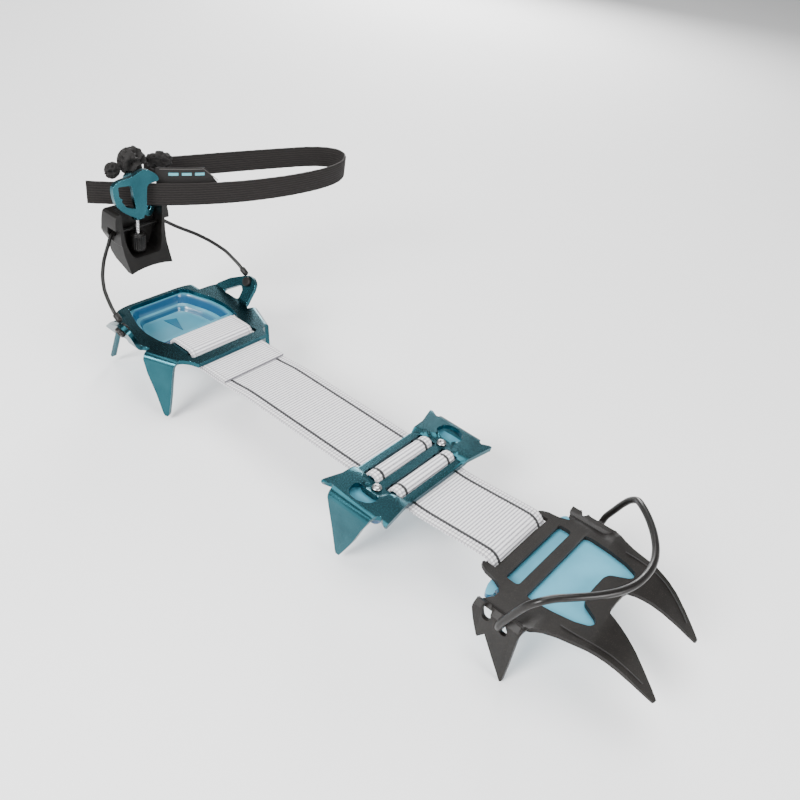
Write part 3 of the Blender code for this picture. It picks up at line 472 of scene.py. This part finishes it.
def ribbed_elastic():
    look = Look("black_elastic", (0.01, 0.009, 0.0085), 0.0, 0.85, Sheen_Weight=0.03,
                Specular_IOR_Level=0.2)
    across, along = look.uv()
    knit = look.math("PINGPONG", look.math("DIVIDE", along, 0.8), 0.5)
    rib = look.math("PINGPONG", look.math("DIVIDE", across, ANKLE_WIDTH / ANKLE_RIBS), 0.5)
    fuzz = look.noise(1300.0, 5.0, 0.7)
    tone = look.math("MULTIPLY_ADD", knit, 0.3, look.math("MULTIPLY_ADD", fuzz, 0.6, rib))
    look.colour(look.ramp(tone, (0.25, (0.004, 0.0038, 0.004)), (0.62, (0.011, 0.0095, 0.009)),
                          (0.95, (0.019, 0.016, 0.015))))
    look.rough(fuzz, 0.75, 0.95)
    look.bump(look.math("MULTIPLY_ADD", knit, 0.5, fuzz), 0.5, 0.12)
    return look.made


def soft_fabric():
    look = Look("black_fabric", (0.008, 0.007, 0.0065), 0.0, 0.8, Sheen_Weight=0.03,
                Specular_IOR_Level=0.3)
    spot = look.place()
    parts = look.node("ShaderNodeSeparateXYZ", {0: spot})
    warp = look.math("PINGPONG", look.math("MULTIPLY", parts.outputs[0], 1500.0), 0.5)
    weft = look.math("PINGPONG", look.math("MULTIPLY", parts.outputs[2], 1500.0), 0.5)
    fuzz = look.noise(700.0, 6.0, 0.7)
    tone = look.math("MULTIPLY_ADD", look.math("ADD", warp, weft), 0.25,
                     look.math("MULTIPLY", fuzz, 0.7))
    look.colour(look.ramp(tone, (0.3, (0.004, 0.0036, 0.0036)), (0.8, (0.016, 0.014, 0.013))))
    look.rough(fuzz, 0.62, 0.9)
    look.bump(tone, 0.5, 0.15)
    return look.made


def grained_colour(name, colour):
    look = Look(name, colour, 0.0, 0.6)
    grain = look.noise(900.0, 4.0)
    look.colour(look.ramp(grain, (0.3, tuple(c * 0.8 for c in colour)), (0.7, colour)))
    return look.made


# ------------------------------------------------------------------ webbing

def webbing_path():
    """Centre line of the whole band as (y, z), from its end in the toe plate to its heel tail."""
    toe = [(-77.6, -2.9), (-75.0, -2.9), (-73.6, -2.6), (-72.2, -1.5), (-71.0, 0.1), (-69.4, 1.5),
           (-67.2, 2.25), (-64.6, 2.3)]
    front = [(-56, 1.6), (-46, 0.7), (-36, -0.15), (-31, -0.55), (-27, -0.7), (-23.5, -0.65),
             (-20.2, -0.5)]
    hump = [(-0.3, -0.38), (0.35, -0.15), (0.95, 0.5), (1.75, 2.1), (2.6, 3.5), (3.6, 4.15)]
    middle = []
    for low, high in ((-18.0, -8.0), (-3.3, 6.8)):
        middle += [(low + d, z) for d, z in hump]
        middle += [((low + high) / 2, 4.35)]
        middle += [(high - d, z) for d, z in reversed(hump)]
        middle += [(high + 2.35, -0.5)] if high < 0 else []
    rear = [(9.4, -0.6), (16, -0.7), (25, -0.7), (45, -0.7), (70, -0.7), (88, -0.7), (95, -0.95),
            (101, -1.6), (106.6, -2.2)]
    heel = [(112, -2.4), (126, -2.45), (146, -2.3), (151.0, -1.8), (153.5, -0.4), (154.3, 1.3),
            (153.5, 2.9), (151.2, 3.75), (147, 3.8), (141.4, 3.8), (138.4, 3.7), (136.4, 2.3),
            (135.0, 0.5), (133.4, -0.55), (130.8, -0.75), (126, -0.7), (118, -0.7), (108.6, -0.7)]
    return spaced(smooth(toe + front + middle + rear + heel, 8), RIB_PITCH / 6)


def band_columns():
    """Positions across the webbing, closer together at the edges and the two lines."""
    half = STRAP_WIDTH / 2
    right = [half - 0.12, half - 0.5, half - 1.2, half - 2.6, LINE_OFFSET + 0.9,
             LINE_OFFSET + LINE_HALF, LINE_OFFSET - LINE_HALF, LINE_OFFSET - 0.9, 13.0, 8.5, 4.0]
    return [-x for x in right] + [0.0] + right[::-1]


def webbing_piece(name, rows, look):
    """Closed stretch of the band: rows are (centre, distance along the whole band)."""
    columns = band_columns()
    half = STRAP_WIDTH / 2
    rings, marks = [], []
    for i, (here, along) in enumerate(rows):
        before, after = rows[max(i - 1, 0)][0], rows[min(i + 1, len(rows) - 1)][0]
        run = (after - before).normalized()
        up = Vector((-run.y, run.x))
        swell = RIB_DEPTH * (abs(math.sin(math.pi * along / RIB_PITCH)) ** 0.6 - 0.6)
        ring = []
        for face in (1, -1):
            for x in columns if face == 1 else reversed(columns):
                lip = step((abs(x) - (half - 1.4)) / 1.4)
                lift = (STRAP_THICK / 2 + swell) * (1 - 0.45 * lip ** 2)
                lift += 0.06 * step(1 - abs(abs(x) - LINE_OFFSET) / 0.8)
                weave = 0.05 * math.sin(along * 3.7 + x * 2.7) * lip
                spot = here + up * face * (lift + weave)
                ring.append((x, spot.x, spot.y))
        rings.append(ring)
        marks.append(along)
    across = list(columns) + list(reversed(columns))

    def uvs(i, k, j):
        return across[k % len(across)], marks[i] + (REVERSE if j >= len(columns) - 1 else 0.0)

    return add_mesh(name, loft(rings, uvs), look, sharp=60.0)


def build_webbing(look):
    path = webbing_path()

    def rows(first, last):
        """Path rows between two distances, both moved to the nearest groove between ribs."""
        low = round(first / RIB_PITCH) * RIB_PITCH
        high = round(last / RIB_PITCH) * RIB_PITCH
        return [r for r in path if low - 1e-3 <= r[1] <= high + RIB_PITCH / 6]

    def distance(y, after=0.0):
        """Distance along the band where it first passes y, past a given distance."""
        return min((r for r in path if r[1] >= after), key=lambda r: abs(r[0].x - y))[1]

    toe_split = distance(-46)
    front_split = distance(-21)
    under = distance(0, front_split)
    rear_split = distance(9.2, under)
    heel_split = distance(66, rear_split)
    pieces = [
        webbing_piece("webbing_to_toe", rows(0, toe_split), look),
        webbing_piece("webbing_front_bend", rows(toe_split, front_split), look),
        webbing_piece("webbing_through_middle", rows(front_split, rear_split), look),
        webbing_piece("webbing_rear_bend", rows(rear_split, heel_split), look),
        webbing_piece("webbing_heel_loop", rows(heel_split, path[-1][1] + 1), look),
    ]
    ends = [0, toe_split, front_split, rear_split, heel_split, path[-1][1]]
    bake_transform(pieces[0], "front_link", "toe", place((0, -60.2, 2.0)), place((0, -69.0, 2.0)))
    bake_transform(pieces[1], "middle", "front_link", place((0, -22.8, -0.7)), place((0, -31.2, -0.7)))
    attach(pieces[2], "middle")
    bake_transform(pieces[3], "middle", "rear_link", place((0, 20.0, -0.7)), place((0, 30.0, -0.7)))
    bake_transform(pieces[4], "rear_link", "heel", place((0, 101.0, -2.0)), place((0, 112.0, -2.0)))
    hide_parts("webbing_toe")
    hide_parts("webbing_front")
    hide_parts("webbing_middle")
    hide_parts("webbing_rear")
    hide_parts("webbing_heel")
    for piece, low, high in zip(pieces, ends, ends[1:]):
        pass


# ------------------------------------------------------------------ wire and cable

def build_bail(look):
    y, z = BAIL_AXIS
    right = [(42.7, y, z), (44.2, y, z), (45.6, y, z + 0.2), (46.9, y - 0.1, z + 1.6),
             (47.3, y - 0.8, z + 5.0), (47.2, -95.8, 8.0), (46.8, -98.2, 13.8),
             (45.8, -101.0, 19.0), (43.8, -104.4, 22.6), (39.8, -108.2, 24.4),
             (34.9, -112.9, 25.2), (29.8, -117.3, 25.5), (24.0, -121.6, 25.6),
             (16.6, -125.8, 25.6), (8.4, -128.6, 25.6), (0, -129.4, 25.6)]
    left = [(-x, b, c) for x, b, c in reversed(right[:-1])]
    path = smooth(right + left, 8)
    radii = [BAIL_RADIUS] * len(path)
    for end in (0, 1, -1, -2):
        radii[end] = BAIL_RADIUS * (0.82 if end in (0, -1) else 0.95)
    item = add_mesh("toe_bail_wire", loft(tube(path, radii, 28)), look)
    settle(item, "bail", "dark_wire", "toe_bail")


def build_cable(look, end_look):
    y, z = CABLE_AXIS
    ay, az = LEVER_AXIS
    right = [(45.8, y, z), (45.6, 172.4, 20.4), (45.3, 174.9, 22.0), (44.7, 177.8, 23.6),
             (43.3, 183.1, 26.8), (41.9, 186.4, 28.5), (38.3, 192.4, 31.6), (33.2, 198.6, 34.8),
             (29.9, 202.0, 36.4), (26.4, 205.2, 38.0), (22.9, 208.2, 39.8), (20.3, 210.4, 41.4),
             (18.3, 211.8, 42.5), (16.2, 212.4, 42.95), (14.0, ay, az), (7.0, ay, az), (0, ay, az)]
    left = [(-a, b, c) for a, b, c in reversed(right[:-1])]
    item = add_mesh("heel_cable_cover", loft(tube(smooth(right + left, 8), CABLE_RADIUS, 24)), look)
    settle(item, "cable", "coated_cable", "heel_cable")
    start = Vector((45.8, y, z))
    along = (Vector((45.6, 172.4, 20.4)) - start).normalized()
    for side, name in ((-1, "cable_end_left"), (1, "cable_end_right")):
        profile = [(-1.9, 0.5), (-1.8, 0.9), (-1.4, 1.45), (-0.7, 1.75), (0.4, 1.8), (2.6, 1.8),
                   (3.1, 1.72), (3.4, 1.5), (3.5, 1.3)]
        path = [start + along * d for d, r in profile]
        path = [(side * p.x, p.y, p.z) for p in path]
        bm = loft(tube(path, [r for d, r in profile], 28))
        settle(add_mesh(name + "_ferrule", bm, end_look), "cable", "black_plastic", name)


# ------------------------------------------------------------------ fasteners and adjuster

def build_fasteners(black, rivet_look):
    x, y, z = SCREW_CENTRE
    profile = [(-2.9, 0.8, 0), (-2.9, 2.2, 0), (-2.75, 2.75, 0), (-2.3, 3.0, 0), (-1.5, 3.05, 0),
               (-1.42, 2.9, 0), (-1.4, 1.5, 0), (1.4, 1.5, 0), (1.42, 3.0, 0), (1.5, 3.2, 0),
               (2.7, 3.2, 0), (3.2, 3.0, 0), (3.4, 2.6, 0), (3.4, 1.7, 0), (2.2, 1.55, 0),
               (2.1, 0.4, 0)]
    for side, name in ((-1, "pivot_screw_left"), (1, "pivot_screw_right")):
        axis = (side * math.sin(EAR_ANGLE), 0, -math.cos(EAR_ANGLE))
        rings = lathe(profile, (side * x, y, z), axis, 40)
        settle(add_mesh(name + "_head", loft(rings), black), "heel", "black_plastic", name)
    dome = [(-7.4, 1.2, 0), (-7.35, 2.0, 0), (-6.95, 2.4, 0), (-6.8, 2.4, 0), (-6.76, 1.3, 0),
            (3.3, 1.3, 0), (3.34, 2.45, 0), (3.55, 2.6, 0), (3.9, 2.5, 0), (4.25, 2.1, 0),
            (4.45, 1.5, 0), (4.45, 1.1, 0), (4.25, 0.8, 0), (4.2, 0.2, 0)]
    for side, name in ((-1, "middle_rivet_left"), (1, "middle_rivet_right")):
        rings = lathe(dome, (side * RIVET_AT[0], RIVET_AT[1], 0), (0, 0, 1), 40)
        settle(add_mesh(name + "_head", loft(rings), rivet_look), "middle", "grey_rivet", name)


def build_adjuster(black, rod_look):
    x, y = KNOB_AXIS
    profile = [(30.2, 0.2, 0), (30.2, 3.6, 0), (30.4, 4.1, 0), (30.9, 4.45, 0), (31.8, 4.5, 0),
               (32.1, 4.5, 1), (39.4, 4.5, 1), (39.8, 4.45, 0), (40.2, 4.2, 0), (40.4, 3.7, 0),
               (41.0, 3.5, 0), (41.2, 3.3, 0), (41.2, 1.6, 0), (38.0, 1.5, 0), (38.0, 0.2, 0)]
    rings = lathe(profile, (x, y, 0), (0, 0, 1), 120, 20, 0.45)
    settle(add_mesh("adjuster_knob_fluted", loft(rings), black), "knob", "black_plastic",
           "adjuster_knob")
    rings = []
    low, high, sides = 37.0, 53.6, 28
    count = 140
    for i in range(count + 1):
        h = low + (high - low) * i / count
        taper = 0.3 * step(1 - (h - low) / 0.5) + 0.3 * step(1 - (high - h) / 0.5)
        ring = []
        for k in range(sides):
            a = 2 * math.pi * k / sides
            thread = abs(((h / THREAD_PITCH - k / sides) % 1.0) - 0.5) * 0.3
            r = 1.2 - thread - taper
            ring.append((x + r * math.cos(a), y + r * math.sin(a), h))
        rings.append(ring)
    settle(add_mesh("adjuster_rod_threaded", loft(rings), rod_look, sharp=70.0), "strap",
           "bright_rod", "adjuster_rod")


# ------------------------------------------------------------------ ankle strap

def ankle_loop():
    loop = [(-21.0, 228.8), (-14.4, 223.7), (-7.0, 218.4), (2.0, 211.8), (15.0, 202.6),
            (31.0, 193.8), (47.0, 186.6), (64.0, 180.6), (87.0, 175.0), (112.0, 172.2),
            (130.0, 174.0), (141.5, 180.0), (145.6, 188.5), (141.5, 196.6), (131.0, 203.6),
            (117.0, 209.4), (92.0, 218.4), (72.0, 225.4), (54.0, 231.4), (38.0, 236.6),
            (26.0, 239.6)]
    count = len(loop) - 1
    return [(x, y, ANKLE_Z + 0.6 * step(i / 9) - 1.2 * step((i - 12) / (count - 12)))
            for i, (x, y) in enumerate(loop)]


def ribbed_band(name, path, width, thick, ribs, look):
    """Band on edge along a path in space, with round ribs running lengthwise."""
    rows = spaced(smooth(path, 10), BAND_GAP)
    per = 6
    count = ribs * per
    rings, marks = [], []
    levels = [width * (j / count - 0.5) for j in range(count + 1)]
    for i, (here, along) in enumerate(rows):
        run = rows[min(i + 1, len(rows) - 1)][0] - rows[max(i - 1, 0)][0]
        out = Vector((-run.y, run.x, 0)).normalized()
        ring = []
        for face in (1, -1):
            for j, level in enumerate(levels if face == 1 else levels[::-1]):
                swell = 0.22 * (abs(math.sin(math.pi * j / per)) ** 0.7 - 1)
                lip = step((abs(level) - width / 2 + 0.8) / 0.8)
                lift = (thick / 2 + swell * (1 - lip)) * (1 - 0.5 * lip)
                wave = 0.05 * math.sin(along * 0.9 + j * 0.35)
                ring.append(here + out * face * (lift + 0.02 * math.sin(along * 3.9))
                            + Vector((0, 0, level + wave)))
        rings.append(ring)
        marks.append(along)
    across = levels + levels[::-1]

    def uvs(i, k, j):
        return across[k % len(across)], marks[i]

    return add_mesh(name, loft(rings, uvs), look, sharp=70.0), rows[-1][1]


def crumpled(name, centre, size, turn, seed, look):
    """Bundle of folded webbing: a lump whose surface is pulled in along many creases."""
    bm = bmesh.new()
    bmesh.ops.create_icosphere(bm, subdivisions=5, radius=1.0)
    shift = Vector((seed * 3.1, seed * 1.7, seed * 2.3))
    spin = Matrix.Rotation(turn, 3, "Z")
    for vert in bm.verts:
        p = vert.co.normalized()
        folds = abs(noise.noise(p * 1.7 + shift))
        small = abs(noise.noise(p * 4.3 + shift * 2))
        fine = abs(noise.noise(p * 9.0 + shift * 3))
        facet = noise.voronoi(p * 2.3 + shift)[0]
        pull = 0.62 * folds + 0.22 * small + 0.02 * fine
        r = 0.98 + 0.34 * facet[0] - pull
        r = min(max(r, 0.45), 1.06)
        q = Vector((p.x * size[0], p.y * size[1], p.z * size[2])) * r
        vert.co = place(Vector(centre) + spin @ q)
    for _ in range(3):
        bmesh.ops.smooth_vert(bm, verts=bm.verts, factor=0.5)
    return add_mesh(name, bm, look, sharp=55.0)


def build_ankle(elastic, fabric, mark_look, thread_look):
    strap, length = ribbed_band("ankle_strap_elastic", ankle_loop(), ANKLE_WIDTH, ANKLE_THICK,
                                ANKLE_RIBS, elastic)
    settle(strap, "strap", "black_elastic", "ankle_strap")
    bundles = [
        ("strap_bundle_large", (7.5, 225.5, 76.8), (8.9, 7.0, 7.9), 0.3, 1),
        ("strap_bundle_small", (-7.2, 223.4, 74.8), (5.0, 3.6, 4.5), 0.2, 4),
        ("strap_fold", (29.0, 228.9, 71.6), (8.2, 4.6, 5.4), -0.35, 7),
    ]
    for node, centre, size, turn, seed in bundles:
        item = crumpled(node + "_crumpled", centre, size, turn, seed, fabric)
        settle(item, "strap", "black_fabric", node)
    tag = refined("label_tag", "strap", "black_fabric", fabric, 0.25)
    build_tag_marks(mark_look, thread_look)


TAG_PATH = [(11.4, 208.6), (20.0, 203.2), (31.0, 197.2), (45.0, 190.8)]
TAG_LOW = ANKLE_Z + ANKLE_WIDTH / 2 - 2.0
TAG_HIGH = ANKLE_Z + ANKLE_WIDTH / 2 + 8.4


def build_tag_marks(mark_look, thread_look):
    """Three plain dashes woven into the tag, and the stitched border round its free edges."""
    rows = spaced(smooth(TAG_PATH, 8), 0.5)

    def on_tag(distance, z, lift):
        """Point at a distance along the tag and a height, lifted off its outer face."""
        here = min(rows, key=lambda r: abs(r[1] - distance))
        i = rows.index(here)
        run = rows[min(i + 1, len(rows) - 1)][0] - rows[max(i - 1, 0)][0]
        out = Vector((run.y, -run.x)).normalized()
        spot = here[0] + out * lift
        return spot.x, spot.y, z

    middle = (TAG_LOW + TAG_HIGH) / 2 + 1.6
    for k, (start, end) in enumerate(((7.0, 12.5), (14.5, 20.0), (22.0, 27.5))):
        rings = []
        steps = 11
        for i in range(steps + 1):
            d = start + (end - start) * i / steps
            rings.append([on_tag(d, middle - 0.8, 0.48), on_tag(d, middle - 0.8, 0.60),
                          on_tag(d, middle + 0.8, 0.60), on_tag(d, middle + 0.8, 0.48)])
        settle(add_mesh(f"tag_dash_{k + 1}", loft(rings), mark_look), "strap", "black_fabric")
    edge = [on_tag(2.0, TAG_HIGH - 0.7, 0.56)]
    edge += [on_tag(d, TAG_HIGH - 0.7, 0.56) for d in range(4, 27, 2)]
    edge += [on_tag(27.6, TAG_HIGH - 1.0, 0.56), on_tag(35.6, TAG_LOW + 2.6, 0.56)]
    bm = loft(tube(smooth(edge, 4), 0.22, 8))
    settle(add_mesh("tag_border_stitch", bm, thread_look), "strap", "black_fabric")


# ------------------------------------------------------------------ plates and plastics

def build_heel_tray(look, deep_look):
    """Snow-shedding tray in the heel opening: rim, two-step wall and flat floor."""
    rim = [(18.8, 198.2), (23.0, 194.8), (26.4, 186), (29.2, 178), (30.8, 168), (29.8, 158.2)]
    outline = [Vector(p) for p in rim] + [Vector((-x, y)) for x, y in reversed(rim)]
    outline = rounded(outline, 3.0, 6)

    def ring(scale, z):
        return [(p.x * scale, TRAY_CENTRE + (p.y - TRAY_CENTRE) * scale, z) for p in outline]

    rings = [ring(0.02, -9.3), ring(0.60, -9.4), ring(0.66, -9.35), ring(0.69, -9.0),
             ring(0.72, -7.6), ring(0.745, -6.2), ring(0.76, -5.9), ring(0.80, -5.7),
             ring(0.82, -5.3), ring(0.86, -2.2), ring(0.875, -0.6), ring(0.89, -0.1),
             ring(0.91, 0.0), ring(0.975, 0.0), ring(0.992, -0.12), ring(1.0, -0.4),
             ring(1.0, -1.0), ring(0.99, -1.3), ring(0.93, -1.5), ring(0.915, -1.9),
             ring(0.90, -3.0), ring(0.86, -6.8), ring(0.80, -10.2), ring(0.78, -10.6),
             ring(0.75, -10.8), ring(0.02, -10.8)]
    settle(add_mesh("heel_tray", loft(rings), look, sharp=32.0), "heel", "clear_blue_plastic",
           "heel_antiball")
    wedge = [(-1.0, 188.5), (6.5, 186.0), (1.5, 173.5)]
    rings = [[(x, y, -9.3) for x, y in wedge], [(x, y, -8.9) for x, y in wedge]]
    settle(add_mesh("heel_tray_rib", loft(rings), deep_look), "heel", "clear_blue_plastic")


def build_groove_shadows(look):
    """Painted shadow of the pressed lines along the outer edges of the two front points: thin
    near-black tubes.
    """
    for side, name in ((-1, "left"), (1, "right")):
        line = [(30.6, -112.0, 3.2), (30.2, -120.0, 3.55), (29.0, -128.0, 3.5), (27.4, -135.0, 2.1),
                (25.6, -141.5, -0.8), (23.9, -147.0, -4.0), (22.6, -150.5, -6.5)]
        path = smooth([(side * x, y, z) for x, y, z in line], 6)
        bm = loft(tube(path, 0.28, 8))
        settle(add_mesh(f"front_point_groove_shadow_{name}", bm, look), "toe", "coated_steel")


# ------------------------------------------------------------------ studio

def build_studio():
    floor_z = cad_bounds[0][2] - FLOOR_GAP
    bpy.ops.mesh.primitive_plane_add(size=FLOOR_SIZE, location=(0, 0, floor_z))
    floor = bpy.context.object
    floor.name = "studio_floor"
    look = Look("studio_floor", grey(0.93), 0.0, 0.8)
    look.colour(look.ramp(look.noise(3.0, 2.0), (0.3, grey(0.92)), (0.7, grey(0.94))))
    floor.data.materials.append(look.made)
    world = bpy.data.worlds.new("studio")
    world.use_nodes = True
    tree = world.node_tree
    back = tree.nodes["Background"]
    coords = tree.nodes.new("ShaderNodeTexCoord")
    parts = tree.nodes.new("ShaderNodeSeparateXYZ")
    tree.links.new(coords.outputs["Generated"], parts.inputs[0])
    ramp = tree.nodes.new("ShaderNodeValToRGB")
    tree.links.new(parts.outputs[2], ramp.inputs[0])
    stops = ramp.color_ramp.elements
    stops[0].position, stops[0].color = 0.0, (1.0, 1.0, 1.0, 1.0)
    stops[1].position, stops[1].color = 0.80, (0.10, 0.105, 0.11, 1.0)
    middle = stops.new(0.30)
    middle.color = (0.9, 0.9, 0.9, 1.0)
    tree.links.new(ramp.outputs[0], back.inputs[0])
    back.inputs[1].default_value = WORLD_LIGHT
    bpy.context.scene.world = world
    for name, spot, size, power in LIGHTS:
        light = bpy.data.lights.new(name, "AREA")
        light.shape = "DISK"
        light.size = size
        light.energy = power
        item = bpy.data.objects.new(name, light)
        item.location = spot
        item.rotation_euler = (-Vector(spot)).to_track_quat("-Z", "Y").to_euler()
        bpy.context.scene.collection.objects.link(item)


def build_camera():
    data = bpy.data.cameras.new("view")
    item = bpy.data.objects.new("view", data)
    bpy.context.scene.collection.objects.link(item)
    right = Vector((0.63841, -0.75623, 0.14336))
    down = Vector((-0.39980, -0.48497, -0.77779))
    ahead = Vector((0.65771, 0.43924, -0.61195))
    turn = Matrix((right, -down, -ahead)).transposed().to_4x4()
    item.matrix_world = Matrix.Translation(place((-270.39, -169.23, 270.10))) @ turn
    data.sensor_width = 36.0
    data.lens = 37.089
    data.shift_x = 0.0125
    data.shift_y = 0.03125
    data.clip_start = 0.01
    bpy.context.scene.camera = item


# ------------------------------------------------------------------ everything

def main():
    build_camera()
    build_studio()
    teal = anodised("anodised_teal", (0.014, 0.060, 0.076), (0.028, 0.104, 0.126), 0.24)
    # Much lighter teal for the rounded bevel faces: a painted highlight on the edges
    teal_edge_highlight = anodised("anodised_painted_highlight", (0.16, 0.56, 0.70), (0.28, 0.74, 0.86), 0.22)
    steel = coated_steel()
    steel_edge = steel_edge_highlight_look()
    # Each translucent look paints its upright walls darker as shade and its level faces lighter as
    # light
    clear = translucent("clear_blue_plastic", (0.115, 0.40, 0.54), (0.025, 0.14, 0.25), 0.1)
    tray = translucent("clear_blue_tray", (0.085, 0.30, 0.40), (0.012, 0.075, 0.16), 0.12)
    deep = translucent("deep_blue_plastic", (0.03, 0.16, 0.26), (0.02, 0.12, 0.20), 0.2)
    black = moulded_black()
    webbing = white_webbing()
    elastic = ribbed_elastic()
    fabric = soft_fabric()

    build_webbing(webbing)
    refined("toe_plate", "toe", "coated_steel", steel, 0.35, steel_edge)
    refined("middle_plate", "middle", "anodised_teal", teal, 0.35, teal_edge_highlight)
    refined("heel_plate", "heel", "anodised_teal", teal, 0.35, teal_edge_highlight)
    refined("strap_buckle", "strap", "anodised_teal", teal, 0.6, teal_edge_highlight, 3)
    refined("strap_anchor", "lever", "anodised_teal", teal, 0.4, teal_edge_highlight)
    refined("middle_antiball", "middle", "clear_blue_plastic", tray, 0.6)
    refined("toe_antiball", "toe", "clear_blue_plastic", clear, 0.6)
    refined("lever_body", "lever", "black_plastic", black, 0.6, None, 3)
    build_heel_tray(tray, deep)
    build_bail(dark_wire())
    build_cable(coated_cable(), black)
    build_fasteners(black, bright_steel("grey_rivet", 0.22, 0.40))
    build_adjuster(black, bright_steel("bright_rod", 0.5, 0.8))
    build_ankle(elastic, fabric, grained_colour("teal_thread", (0.10, 0.36, 0.42)),
                grained_colour("grey_thread", (0.05, 0.045, 0.042)))
    build_groove_shadows(grained_colour("groove_shadow", (0.01, 0.009, 0.009)))


main()
